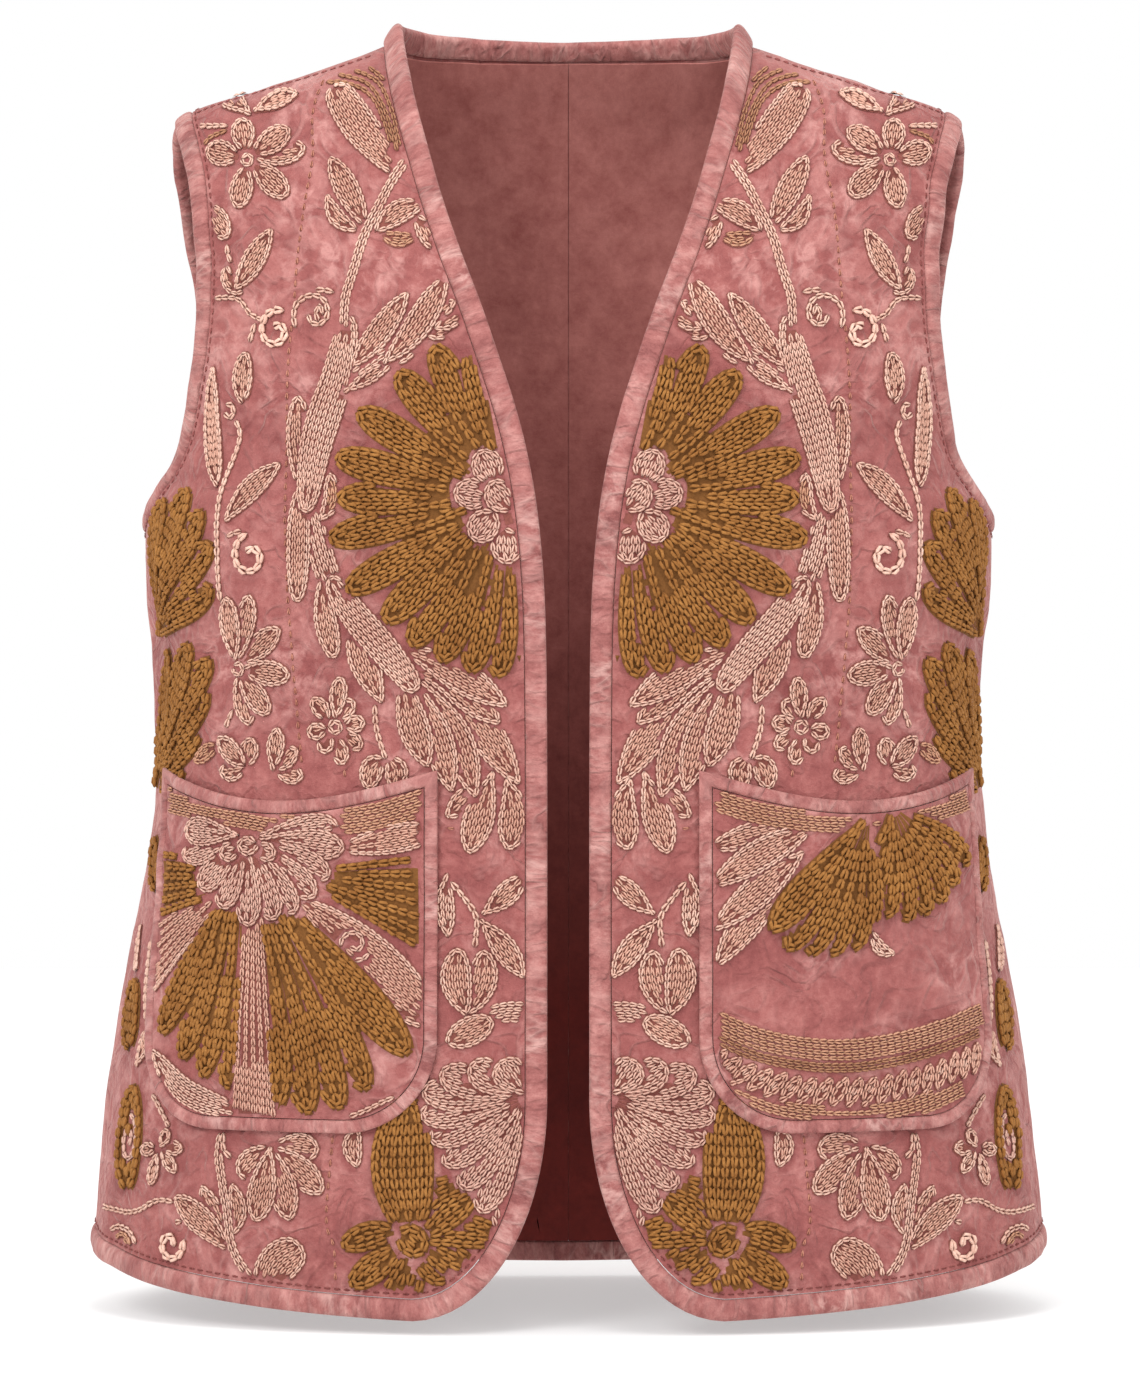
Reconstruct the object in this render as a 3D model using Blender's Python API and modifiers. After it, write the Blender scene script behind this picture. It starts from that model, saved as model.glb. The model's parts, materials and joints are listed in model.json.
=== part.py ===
"""A sleeveless velvet waistcoat in its worn, hollow form, with bound edges and two patch pockets.

Units are metres and +Z is up. The origin is where the wearer's shoulders hold the garment: midway
between the two neck points, at their height. The front faces -Y, and the wearer's left side is at +X.

Every piece is cut flat as a slab, which Solidify thickens, and is then carried to the body's shape.
A place on the body is a pair: phi, the angle round it from 0 at the centre front through a quarter
turn at the side to half a turn at the centre back, and z, the height.
"""

import math
from collections import namedtuple

import bmesh
import bpy
import numpy as np

# Walls and seams
SEAM_GAP = 0.0003
FRONT_WALL = 0.0030
BACK_WALL = 0.0020
LINING_WALL = 0.0008
BINDING_WIDTH = 0.0100
BINDING_INSET = BINDING_WIDTH + SEAM_GAP
POCKET_WALL = 0.0025
POCKET_LIFT = 0.0008
POCKET_BINDING_WIDTH = 0.0060

# The body's sections, as if it were whole: half its width, and how far the front and back stand out
Section = namedtuple("Section", "z half_width front back")
SECTIONS = (
    Section(0.0080, 0.0440, 0.018, 0.034),
    Section(-0.0085, 0.0885, 0.026, 0.055),
    Section(-0.0200, 0.1200, 0.036, 0.068),
    Section(-0.0300, 0.1505, 0.048, 0.079),
    Section(-0.0400, 0.1800, 0.060, 0.088),
    Section(-0.0520, 0.1915, 0.070, 0.096),
    Section(-0.0680, 0.1960, 0.081, 0.104),
    Section(-0.0900, 0.1965, 0.093, 0.111),
    Section(-0.1200, 0.1935, 0.105, 0.117),
    Section(-0.1500, 0.1910, 0.113, 0.120),
    Section(-0.2000, 0.1905, 0.121, 0.120),
    Section(-0.2420, 0.2030, 0.123, 0.117),
    Section(-0.3100, 0.1982, 0.119, 0.111),
    Section(-0.3550, 0.1972, 0.117, 0.110),
    Section(-0.4000, 0.2010, 0.118, 0.112),
    Section(-0.4450, 0.2076, 0.120, 0.116),
    Section(-0.4900, 0.2150, 0.122, 0.120),
    Section(-0.5380, 0.2214, 0.124, 0.123),
    Section(-0.5810, 0.2258, 0.125, 0.126),
    Section(-0.6300, 0.2290, 0.126, 0.128),
)
SQUARENESS = 0.035

# Soft drape folds, which run down the cloth: the angle round the body, its ends, spread and height
Fold = namedtuple("Fold", "phi_deg z_top z_low spread_deg height")
FOLDS = (
    Fold(80, -0.36, -0.66, 9, 0.0028),
    Fold(97, -0.30, -0.66, 8, -0.0024),
    Fold(116, -0.36, -0.66, 10, 0.0036),
    Fold(140, -0.40, -0.66, 11, -0.0028),
    Fold(161, -0.38, -0.66, 11, 0.0032),
    Fold(76, -0.24, -0.37, 8, -0.0018),
    Fold(128, -0.06, -0.24, 10, -0.0026),
)
FOLD_GROWTH = 0.45

# Edges of the finished garment, bindings included
NECK_Z = -0.0085
UNDERARM_Z = -0.2420
SHOULDER_TIP_Z = -0.0400
ARMHOLE_FRONT = 0.0600
ARMHOLE_BACK = 0.0540
ARMHOLE_FULLNESS = 0.92
HEM_SIDE_Z = -0.5815
HEM_DIP_FRONT = 0.0300
HEM_DIP_BACK = 0.0270
HEM_SOFTNESS = 0.16
EdgePoint = namedtuple("EdgePoint", "z x")
FRONT_EDGE = (
    EdgePoint(-0.0085, 0.0782),
    EdgePoint(-0.0230, 0.0762),
    EdgePoint(-0.0450, 0.0714),
    EdgePoint(-0.0700, 0.0643),
    EdgePoint(-0.0950, 0.0568),
    EdgePoint(-0.1190, 0.0485),
    EdgePoint(-0.1425, 0.0396),
    EdgePoint(-0.1660, 0.0316),
    EdgePoint(-0.1890, 0.0241),
    EdgePoint(-0.2120, 0.0182),
    EdgePoint(-0.2350, 0.0142),
    EdgePoint(-0.2580, 0.0118),
    EdgePoint(-0.2810, 0.0105),
    EdgePoint(-0.3100, 0.0099),
    EdgePoint(-0.3700, 0.0096),
    EdgePoint(-0.5100, 0.0096),
)
CORNER_X = 0.0727
CORNER_Z = -0.5040

# A patch pocket: where it lies on the front, measured round the body from the centre front
POCKET_INNER = 0.0660
POCKET_OUTER = 0.2080
POCKET_TOP_Z = -0.3620
POCKET_LOW_Z = -0.5140
POCKET_MOUTH_DIP = 0.0125
POCKET_CORNER = 0.0380

# How finely the pieces are divided
COLUMNS = 15
LOW_ROWS = 16
HIGH_ROWS = 13
NECK_COLUMNS = 7
POCKET_COLUMNS = 13
POCKET_ROWS = 12
CHEST_DROP = 0.0300
CHEST_TURN = 0.1200
FINE = 400
HALVINGS = 50
CENTRE_ROOM = 0.02
SAME_PLACE = 1e-6
STEP = 1e-4
QUARTER = math.pi / 2

# A binding's section, from the seam outwards and from the panel's outer face outwards, in widths
# and in metres
EDGE_PROFILE = (
    (0.00, 0.0005),
    (0.34, 0.0011),
    (0.80, 0.0007),
    (1.00, -0.0015),
    (0.80, -0.0037),
    (0.34, -0.0041),
    (0.00, -0.0035),
)
POCKET_PROFILE = (
    (0.00, 0.0028),
    (0.34, 0.0037),
    (0.74, 0.0035),
    (1.00, 0.0022),
    (1.00, 0.0008),
    (0.00, 0.0008),
)
Strip = namedtuple("Strip", "profile width stands_at_neck")
EDGE_STRIP = Strip(EDGE_PROFILE, BINDING_WIDTH, True)
ARMHOLE_STRIP = Strip(EDGE_PROFILE, BINDING_WIDTH, False)
POCKET_STRIP = Strip(POCKET_PROFILE, POCKET_BINDING_WIDTH, False)
BACKWARDS = np.array([0.0, 1, 0])
FRONTWARDS = np.array([0.0, -1, 0])

# The neck band stands up from the cloth, most at the shoulders, and grows wider there
NECK_LIFT_SIDE = 1.10
NECK_LIFT_BACK = 0.30
NECK_GROWTH = 0.30
NECK_LIFT_END_Z = -0.0900

# Colour, roughness and metallic value of each cloth
Cloth = namedtuple("Cloth", "colour roughness metallic")
VELVET = Cloth((0.46, 0.150, 0.145), 0.72, 0.0)
BINDING_VELVET = Cloth((0.56, 0.215, 0.210), 0.68, 0.0)
LINING = Cloth((0.27, 0.085, 0.075), 0.85, 0.0)


def smooth_table(rows, key, value):
    """A smooth function through the rows of a table that never overshoots them."""
    ordered = sorted(rows, key=lambda row: getattr(row, key))
    at = np.array([getattr(row, key) for row in ordered])
    level = np.array([getattr(row, value) for row in ordered])
    slope = np.diff(level) / np.diff(at)
    tangent = np.concatenate([slope[:1], np.zeros(len(slope) - 1), slope[-1:]])
    same_way = slope[:-1] * slope[1:] > 0
    mean = 2 * slope[:-1] * slope[1:] / np.where(same_way, slope[:-1] + slope[1:], 1)
    tangent[1:-1] = np.where(same_way, mean, 0)

    def read(where):
        where = np.clip(np.asarray(where, float), at[0], at[-1])
        i = np.clip(np.searchsorted(at, where) - 1, 0, len(at) - 2)
        span = at[i + 1] - at[i]
        t = (where - at[i]) / span
        blend = t * t * (3 - 2 * t)
        start = t * (1 - t) ** 2 * span * tangent[i]
        end = t * t * (1 - t) * span * tangent[i + 1]
        return level[i] + (level[i + 1] - level[i]) * blend + start - end

    return read


half_width = smooth_table(SECTIONS, "z", "half_width")
front_depth = smooth_table(SECTIONS, "z", "front")
back_depth = smooth_table(SECTIONS, "z", "back")
front_edge_x = smooth_table(FRONT_EDGE, "z", "x")


def unit(vectors):
    return vectors / np.linalg.norm(vectors, axis=-1, keepdims=True)


def ease(value, start, end):
    """0 at start, 1 at end, smooth between them and level beyond."""
    t = np.clip((value - start) / (end - start), 0, 1)
    return t * t * (3 - 2 * t)


def fold_height(phi, z):
    """How far the drape folds push the cloth out from the plain body."""
    total = np.zeros_like(phi)
    for fold in FOLDS:
        across = (phi - math.radians(fold.phi_deg)) / math.radians(fold.spread_deg)
        length = fold.z_top - fold.z_low
        down = ease(z, fold.z_top, fold.z_top - FOLD_GROWTH * length)
        if fold.z_low > HEM_SIDE_Z:
            down = down * ease(z, fold.z_low, fold.z_low + FOLD_GROWTH * length)
        total += fold.height * np.exp(-across * across) * down
    return total


def body(places):
    """The points of the cloth's outer face on the +X side, for an array of (phi, z)."""
    phi, z = places[..., 0], places[..., 1]
    depth = np.where(phi < QUARTER, front_depth(z), back_depth(z))
    fuller = 1 + SQUARENESS * np.sin(2 * phi) ** 2
    x = half_width(z) * np.sin(phi) * fuller
    y = -depth * np.cos(phi) * fuller
    push = fold_height(phi, z) / np.hypot(x, y)
    return np.stack([x * (1 + push), y * (1 + push), z], axis=-1)


def facing(places):
    """The directions in which the cloth's outer face looks."""
    turn, rise = np.array([STEP, 0]), np.array([0, STEP])
    round_it = body(places + turn) - body(places - turn)
    up = body(places + rise) - body(places - rise)
    across = np.cross(round_it, up)
    on_seam = np.abs(body(places)[..., 1]) < SEAM_GAP
    on_centre = places[..., 0] > math.pi - STEP
    across[..., 1] = np.where(on_seam, 0, across[..., 1])
    across[..., 0] = np.where(on_centre, 0, across[..., 0])
    return unit(across)


def phi_where(axis, target, z, low, high):
    """The angle between low and high at which the body's x (axis 0) or y (axis 1) is the target."""
    target, z = np.broadcast_arrays(np.asarray(target, float), np.asarray(z, float))
    low, high = np.full(z.shape, low), np.full(z.shape, high)
    for _ in range(HALVINGS):
        middle = (low + high) / 2
        short = body(np.stack([middle, z], axis=-1))[..., axis] < target
        low, high = np.where(short, middle, low), np.where(short, high, middle)
    return (low + high) / 2


def pairs(phi, z):
    return np.stack(np.broadcast_arrays(phi, z), axis=-1).astype(float)


def lengths_along(points):
    steps = np.linalg.norm(np.diff(points, axis=0), axis=1)
    return np.concatenate([[0], np.cumsum(steps)])


def even(places, steps):
    """The same line of places, divided into equal steps along the cloth."""
    run = lengths_along(body(places))
    wanted = np.linspace(0, run[-1], steps + 1)
    return np.stack([np.interp(wanted, run, places[:, k]) for k in (0, 1)], axis=-1)


def ring_runs(z):
    """A fine set of angles, and how far round the cloth each lies at every height asked for."""
    turn = np.linspace(0, math.pi, FINE)
    rings = body(pairs(turn[None], np.asarray(z)[:, None]))
    steps = np.linalg.norm(np.diff(rings, axis=1), axis=-1)
    return turn, np.concatenate([np.zeros((len(steps), 1)), np.cumsum(steps, axis=1)], axis=1)


def unrolled(places, from_back=False):
    """Places laid flat: how far round the cloth from the centre front or back, and z."""
    turn, runs = ring_runs(places[:, 1])
    reach = np.array([np.interp(phi, turn, run) for phi, run in zip(places[:, 0], runs)])
    return pairs(runs[:, -1] - reach if from_back else reach, places[:, 1])


def rolled(flat, from_back=False):
    """The reverse of unrolled."""
    turn, runs = ring_runs(flat[:, 1])
    reach = runs[:, -1] - flat[:, 0] if from_back else flat[:, 0]
    return pairs(np.array([np.interp(one, run, turn) for one, run in zip(reach, runs)]), flat[:, 1])


def flat_patch(low, high, start, end):
    """A flat net between four edges: low and high run across, start and end run up."""
    u = np.linspace(0, 1, len(low))[:, None, None]
    v = np.linspace(0, 1, len(start))[None, :, None]
    across = (1 - v) * low[:, None] + v * high[:, None]
    up = (1 - u) * start[None] + u * end[None]
    corners = (1 - v) * ((1 - u) * low[0] + u * low[-1]) + v * ((1 - u) * high[0] + u * high[-1])
    return across + up - corners


def patch(low, high, start, end, from_back=False):
    """A net of places between four edges, filled in as the cloth lies flat."""
    flat = flat_patch(*[unrolled(edge, from_back) for edge in (low, high, start, end)])
    net = rolled(flat.reshape(-1, 2), from_back).reshape(flat.shape)
    net[:, 0], net[:, -1], net[0], net[-1] = low, high, start, end
    return net


def hem_z(phi):
    """The hem's seam: level at the centres, and higher at the sides in a soft curve."""
    curve = np.sqrt(np.cos(phi) ** 2 + HEM_SOFTNESS**2) - HEM_SOFTNESS
    dip = np.where(phi < QUARTER, HEM_DIP_FRONT, HEM_DIP_BACK)
    return HEM_SIDE_Z - dip * curve + BINDING_INSET


def side_phi(z, way):
    """The side and shoulder seam, half a gap before (-1) or behind (+1) the quarter turn."""
    depth = front_depth(z) if way < 0 else back_depth(z)
    return QUARTER + way * np.arcsin(SEAM_GAP / 2 / depth)


def armhole(way):
    """The armhole's seam from the underarm to the shoulder tip, in front (-1) or behind (+1)."""
    t = np.linspace(0, math.pi, FINE)
    middle, half = (UNDERARM_Z + SHOULDER_TIP_Z) / 2, (SHOULDER_TIP_Z - UNDERARM_Z) / 2
    z = middle - half * np.cos(t)
    reach = ARMHOLE_FRONT if way < 0 else ARMHOLE_BACK
    y = way * np.maximum(reach * np.sin(t) ** ARMHOLE_FULLNESS, SEAM_GAP / 2)
    low, high = (CENTRE_ROOM, QUARTER) if way < 0 else (QUARTER, math.pi - CENTRE_ROOM)
    return pairs(phi_where(1, y, z, low, high), z)


def front_edge(z):
    """The places of the front edge's seam at these heights."""
    x = front_edge_x(z) + BINDING_INSET
    return pairs(phi_where(0, np.minimum(x, half_width(z)), z, 0.0, side_phi(z, -1)), z)


def front_corner(turns):
    """The rounded lower corner's seam: turn 0 is on the front edge and a quarter turn on the hem."""
    hem_start = float(hem_z(phi_where(0, CORNER_X, HEM_SIDE_Z, 0.0, QUARTER)))
    across = CORNER_X - (float(front_edge_x(CORNER_Z)) + BINDING_INSET)
    x = CORNER_X - across * np.cos(turns)
    z = CORNER_Z - (CORNER_Z - hem_start) * np.sin(turns)
    return pairs(phi_where(0, x, z, 0.0, QUARTER), z)


def chest_line(centre_phi, way):
    """A line across a panel, from the underarm down to chest height and on to the centre."""
    side = side_phi(UNDERARM_Z, way)
    phi = np.linspace(side, centre_phi, FINE)
    drop = CHEST_DROP * (1 - np.exp(-np.abs(phi - side) / CHEST_TURN))
    return pairs(phi, UNDERARM_Z - drop)


def front_net():
    """The front panel's places, from the front edge to the side, and from the hem to the shoulder."""
    eighth = math.pi / 4
    corner_up = front_corner(np.linspace(eighth, 0, FINE))
    corner_along = front_corner(np.linspace(eighth, QUARTER, FINE))
    hem_phi = np.linspace(corner_along[-1, 0], QUARTER, FINE)[1:]
    hem_phi[-1] = side_phi(HEM_SIDE_Z, -1)
    chest_z = UNDERARM_Z - CHEST_DROP
    chest = chest_line(front_edge(np.array([chest_z]))[0, 0], -1)[::-1]
    chest[0, 1] = chest_z
    chest = even(chest, COLUMNS)
    edge_low = front_edge(np.linspace(CORNER_Z, chest_z, FINE)[1:])
    edge_high = front_edge(NECK_Z + (chest_z - NECK_Z) * np.linspace(1, 0, FINE) ** 2)
    side_z = np.linspace(float(hem_z(QUARTER)), UNDERARM_Z, FINE)
    shoulder_z = np.linspace(NECK_Z, SHOULDER_TIP_Z, FINE)
    low = patch(
        even(np.concatenate([corner_along, pairs(hem_phi, hem_z(hem_phi))]), COLUMNS),
        chest,
        even(np.concatenate([corner_up, edge_low]), LOW_ROWS),
        even(pairs(side_phi(side_z, -1), side_z), LOW_ROWS),
    )
    high = patch(
        chest,
        even(pairs(side_phi(shoulder_z, -1), shoulder_z), COLUMNS),
        even(edge_high, HIGH_ROWS),
        even(armhole(-1), HIGH_ROWS),
    )
    return even_rows(low, high)


def back_net():
    """Half the back panel's places, from the side to the centre back, and from the hem up."""
    hem_phi = np.linspace(side_phi(HEM_SIDE_Z, 1), math.pi, FINE)
    chest = even(chest_line(math.pi, 1), COLUMNS)
    chest_z = chest[-1, 1]
    side_z = np.linspace(float(hem_z(QUARTER)), UNDERARM_Z, FINE)
    shoulder_z = np.linspace(SHOULDER_TIP_Z, NECK_Z, FINE)
    neck_phi = np.linspace(side_phi(NECK_Z, 1), math.pi, FINE)
    top = np.concatenate(
        [
            even(pairs(side_phi(shoulder_z, 1), shoulder_z), COLUMNS - NECK_COLUMNS),
            even(pairs(neck_phi, NECK_Z), NECK_COLUMNS)[1:],
        ]
    )
    low = patch(
        even(pairs(hem_phi, hem_z(hem_phi)), COLUMNS),
        chest,
        even(pairs(side_phi(side_z, 1), side_z), LOW_ROWS),
        even(pairs(math.pi, np.linspace(float(hem_z(math.pi)), chest_z, FINE)), LOW_ROWS),
        from_back=True,
    )
    high = patch(
        chest,
        top,
        even(armhole(1), HIGH_ROWS),
        even(pairs(math.pi, np.linspace(chest_z, NECK_Z, FINE)), HIGH_ROWS),
        from_back=True,
    )
    return even_rows(low, high)


def refine(net, rows):
    """Each column of a net divided into equal steps along the cloth."""
    steps = np.linspace(0, net.shape[1] - 1, FINE)
    index = np.arange(net.shape[1])
    columns = []
    for column in net:
        fine = np.stack([np.interp(steps, index, column[:, k]) for k in (0, 1)], axis=-1)
        columns.append(even(fine, rows))
    return np.stack(columns)


def even_rows(low, high):
    """The lower and upper nets with their rows evened out, joined at the chest line."""
    inner_low, inner_high = refine(low, LOW_ROWS), refine(high, HIGH_ROWS)
    inner_low[0], inner_low[-1] = low[0], low[-1]
    inner_high[0], inner_high[-1] = high[0], high[-1]
    return np.concatenate([inner_low, inner_high[:, 1:]], axis=1)


def pocket_outline():
    """The four edges of the pocket's panel, as (reach, z): low, high, start and end."""
    inner, outer, low, radius = POCKET_INNER, POCKET_OUTER, POCKET_LOW_Z, POCKET_CORNER
    turn = np.linspace(0, math.pi / 4, FINE)
    arc = radius * (1 - np.cos(turn)), radius * (1 - np.sin(turn))
    start_arc = pairs(inner + arc[0], low + arc[1])[::-1]
    end_arc = pairs(outer - arc[0], low + arc[1])[::-1]
    floor_arc = pairs(inner + arc[1], low + arc[0])[::-1]
    floor_end = pairs(outer - arc[1], low + arc[0])
    bottom = np.concatenate([floor_arc, floor_end])
    across = np.linspace(0, 1, FINE)
    dip = POCKET_MOUTH_DIP * np.sin(math.pi * across)
    mouth = pairs(inner + (outer - inner) * across, POCKET_TOP_Z - dip)
    start = np.concatenate([start_arc, [[inner, POCKET_TOP_Z]]])
    end = np.concatenate([end_arc, [[outer, POCKET_TOP_Z]]])
    return bottom, mouth, start, end


def pocket_net():
    """The pocket's places on the front."""
    edges = []
    for line, steps in zip(pocket_outline(), (POCKET_COLUMNS,) * 2 + (POCKET_ROWS,) * 2):
        run = lengths_along(line)
        wanted = np.linspace(0, run[-1], steps + 1)
        edges.append(np.stack([np.interp(wanted, run, line[:, k]) for k in (0, 1)], axis=-1))
    flat = flat_patch(*edges)
    return rolled(flat.reshape(-1, 2)).reshape(flat.shape)


def mirrored(points):
    """The same points on the other side of the body, in the order that keeps them facing out."""
    return points[::-1] * np.array([-1, 1, 1])


def stood(points, directions):
    """Points with their facing directions, kept together so that both are mirrored alike."""
    return np.stack([points, directions], axis=-2)


def flipped(standing):
    return standing[::-1] * np.array([-1, 1, 1])


def new_object(name, mesh, cloth, collection):
    """An object of this mesh, smoothly shaded, in its own material."""
    material = bpy.data.materials.new(name)
    material.use_nodes = True
    shader = material.node_tree.nodes["Principled BSDF"]
    shader.inputs["Base Color"].default_value = (*cloth.colour, 1)
    shader.inputs["Roughness"].default_value = cloth.roughness
    shader.inputs["Metallic"].default_value = cloth.metallic
    mesh.materials.append(material)
    mesh.shade_smooth()
    mesh.set_sharp_from_angle(angle=math.radians(50))
    made = bpy.data.objects.new(name, mesh)
    collection.objects.link(made)
    return made


def flat_grid(name, columns, rows, split=False):
    """A flat mesh grid from -1 to 1, with its squares split alike into triangles if asked."""
    mesh = bpy.data.meshes.new(name)
    shape = bmesh.new()
    bmesh.ops.create_grid(shape, x_segments=columns, y_segments=rows, size=1)
    if split:
        bmesh.ops.triangulate(shape, faces=shape.faces, quad_method="FIXED")
    shape.to_mesh(mesh)
    shape.free()
    return mesh


def grid_index(mesh, columns, rows):
    """The column and row of each vertex of a grid from -1 to 1."""
    flat = np.array([vertex.co for vertex in mesh.vertices])
    column = np.rint((flat[:, 0] + 1) / 2 * columns).astype(int)
    row = np.rint((flat[:, 1] + 1) / 2 * rows).astype(int)
    return column, row, flat[:, 2]


def panel(name, outer, inner, cloth, collection):
    """A cloth panel: a flat grid that Solidify thickens, carried to its outer and inner points."""
    columns, rows = outer.shape[0] - 1, outer.shape[1] - 1
    helper = bpy.data.objects.new(name, flat_grid(name + "_flat", columns, rows, split=True))
    collection.objects.link(helper)
    thicken = helper.modifiers.new("Thickness", "SOLIDIFY")
    thicken.thickness = 1
    thicken.offset = -1
    evaluated = helper.evaluated_get(bpy.context.evaluated_depsgraph_get())
    mesh = bpy.data.meshes.new_from_object(evaluated)
    bpy.data.objects.remove(helper)
    column, row, layer = grid_index(mesh, columns, rows)
    on_top = layer[:, None] > -0.5
    points = np.where(on_top, outer[column, row], inner[column, row])
    mesh.vertices.foreach_set("co", points.astype(np.float32).ravel())
    mesh.update()
    return new_object(name, mesh, cloth, collection)


def outward_ways(points, directions, ends):
    """At each station, the way out of the panel along the cloth, lengthened where the edge turns."""
    steps = np.roll(points, -1, axis=0) - points
    middle = unit(directions + np.roll(directions, -1, axis=0))
    after = unit(np.cross(steps, middle))
    before = np.roll(after, 1, axis=0)
    ways = (before + after) / (1 + np.sum(before * after, axis=1, keepdims=True))
    if ends:
        ways[0] = unit(np.cross(ends[0], directions[0]))
        ways[-1] = unit(np.cross(ends[1], directions[-1]))
    return ways


def lifted(points, ways):
    """Near the neck the binding stands up from the cloth, highest and widest at the shoulders."""
    near = ease(points[:, 2], NECK_LIFT_END_Z, NECK_Z)
    sideways = np.minimum(np.abs(points[:, 0]) / half_width(NECK_Z), 1)
    lift = near * (NECK_LIFT_BACK + (NECK_LIFT_SIDE - NECK_LIFT_BACK) * sideways)
    size = np.linalg.norm(ways, axis=1) * (1 + NECK_GROWTH * near * sideways**2)
    return unit(ways + lift[:, None] * np.array([0, 0, 1])) * size[:, None]


def binding(name, standing, strip, collection, ends=None):
    """A folded strip swept along a panel's edge, whose points come with their facing directions.

    It is a closed loop, unless the directions in which it starts and ends are given.
    """
    points, directions = standing[:, 0], standing[:, 1]
    ways = outward_ways(points, directions, ends)
    if strip.stands_at_neck:
        ways = lifted(points, ways)
        along = unit(np.cross(directions, ways))
        directions = unit(np.cross(ways, along))
    rings = []
    for out, up in strip.profile:
        rings.append(points + ways * (SEAM_GAP + out * strip.width) + directions * up)
    rings = np.stack(rings, axis=1)
    stations, sides = rings.shape[:2]
    if ends is None:
        rings = np.concatenate([rings, rings[:1]])
        stations += 1
    mesh = flat_grid(name, stations - 1, sides)
    column, row, _ = grid_index(mesh, stations - 1, sides)
    mesh.vertices.foreach_set("co", rings[column, row % sides].astype(np.float32).ravel())
    shape = bmesh.new()
    shape.from_mesh(mesh)
    bmesh.ops.remove_doubles(shape, verts=shape.verts, dist=SAME_PLACE)
    bmesh.ops.holes_fill(shape, edges=[edge for edge in shape.edges if edge.is_boundary])
    bmesh.ops.recalc_face_normals(shape, faces=shape.faces)
    shape.to_mesh(mesh)
    shape.free()
    return new_object(name, mesh, BINDING_VELVET, collection)


def make_fronts(net, collection):
    outer, directions = body(net), facing(net)
    inner = outer - directions * FRONT_WALL
    panel("front_left", outer, inner, VELVET, collection)
    panel("front_right", mirrored(outer), mirrored(inner), VELVET, collection)


def whole_back(half):
    """Both halves of the back, joined on the centre line."""
    half = half.copy()
    half[-1, :, 0] = 0
    return np.concatenate([half, mirrored(half)[1:]])


def make_back(net, collection):
    outer, directions = body(net), facing(net)
    inner = outer - directions * BACK_WALL
    panel("back", whole_back(outer), whole_back(inner), VELVET, collection)


def make_lining(net, collection):
    """The back's lining, in two halves that meet in a seam down the centre back."""
    outer_face, directions = body(net), facing(net)
    outer = outer_face - directions * (BACK_WALL + SEAM_GAP)
    inner = outer - directions * LINING_WALL
    for points in (outer, inner):
        points[-1, :, 0] = SEAM_GAP / 2
    panel("lining_back_left", outer, inner, LINING, collection)
    panel("lining_back_right", mirrored(outer), mirrored(inner), LINING, collection)


def make_edge_bindings(front, back, collection):
    """The strips that bind the neck, front edges, hem and armholes."""
    front_points = stood(body(front), facing(front))
    back_points = stood(body(back), facing(back))

    edge = np.concatenate([front_points[0, ::-1], front_points[1:, 0]])
    binding("binding_front_left", edge, EDGE_STRIP, collection, (FRONTWARDS, BACKWARDS))
    binding("binding_front_right", flipped(edge), EDGE_STRIP, collection, (FRONTWARDS, BACKWARDS))

    half_neck = back_points[COLUMNS - NECK_COLUMNS :, -1]
    half_neck[-1, :, 0] = 0
    neck = np.concatenate([flipped(half_neck)[::-1], half_neck[:-1][::-1]])
    binding("binding_neck_back", neck, EDGE_STRIP, collection, (BACKWARDS, FRONTWARDS))

    half_hem = back_points[:, 0]
    half_hem[-1, :, 0] = 0
    hem = np.concatenate([half_hem, flipped(half_hem)[1:]])
    binding("binding_hem_back", hem, EDGE_STRIP, collection, (BACKWARDS, FRONTWARDS))

    rise = front_points[-1, LOW_ROWS:]
    fall = back_points[0, LOW_ROWS:][::-1]
    loop = np.concatenate([rise, fall[1:-1]])
    loop[0, 0, 1] = 0
    loop[len(rise) - 1, 0, 1] = 0
    binding("binding_armhole_left", loop, ARMHOLE_STRIP, collection)
    binding("binding_armhole_right", flipped(loop), ARMHOLE_STRIP, collection)


def make_pockets(collection):
    """Two patches that lie on the fronts, each bound all round."""
    net = pocket_net()
    surface, directions = body(net), facing(net)
    inner = surface + directions * POCKET_LIFT
    outer = inner + directions * POCKET_WALL
    panel("pocket_left", outer, inner, VELVET, collection)
    panel("pocket_right", mirrored(outer), mirrored(inner), VELVET, collection)
    standing = stood(surface, directions)
    mouth, inside = standing[::-1, -1], standing[0, ::-1]
    bottom, outside = standing[:, 0], standing[-1]
    loop = np.concatenate([mouth[:-1], inside[:-1], bottom[:-1], outside[:-1]])
    binding("binding_pocket_left", loop, POCKET_STRIP, collection)
    binding("binding_pocket_right", flipped(loop), POCKET_STRIP, collection)


def main():
    for old in list(bpy.data.objects):
        bpy.data.objects.remove(old)
    collection = bpy.data.collections.new("waistcoat")
    bpy.context.scene.collection.children.link(collection)
    front, back = front_net(), back_net()
    make_fronts(front, collection)
    make_back(back, collection)
    make_lining(back, collection)
    make_edge_bindings(front, back, collection)
    make_pockets(collection)


main()
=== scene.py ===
# %% [markdown]
# # A velvet waistcoat with chain-stitched flowers
#
# The garment is a woman's sleeveless waistcoat, filled out as if worn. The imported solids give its
# cut and its form. This notebook gives the looks: fine cloth shells on the same form, the rolled
# velvet bindings, the plain lining, and the chain-stitched flowers, one link of thread at a time.
#
# Lengths are in metres unless a name ends in `_mm`. Places that were measured on the photograph are
# in its pixels, in columns named `px` and `py`.

# %% The frame
import json
import math
from collections import namedtuple

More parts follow.
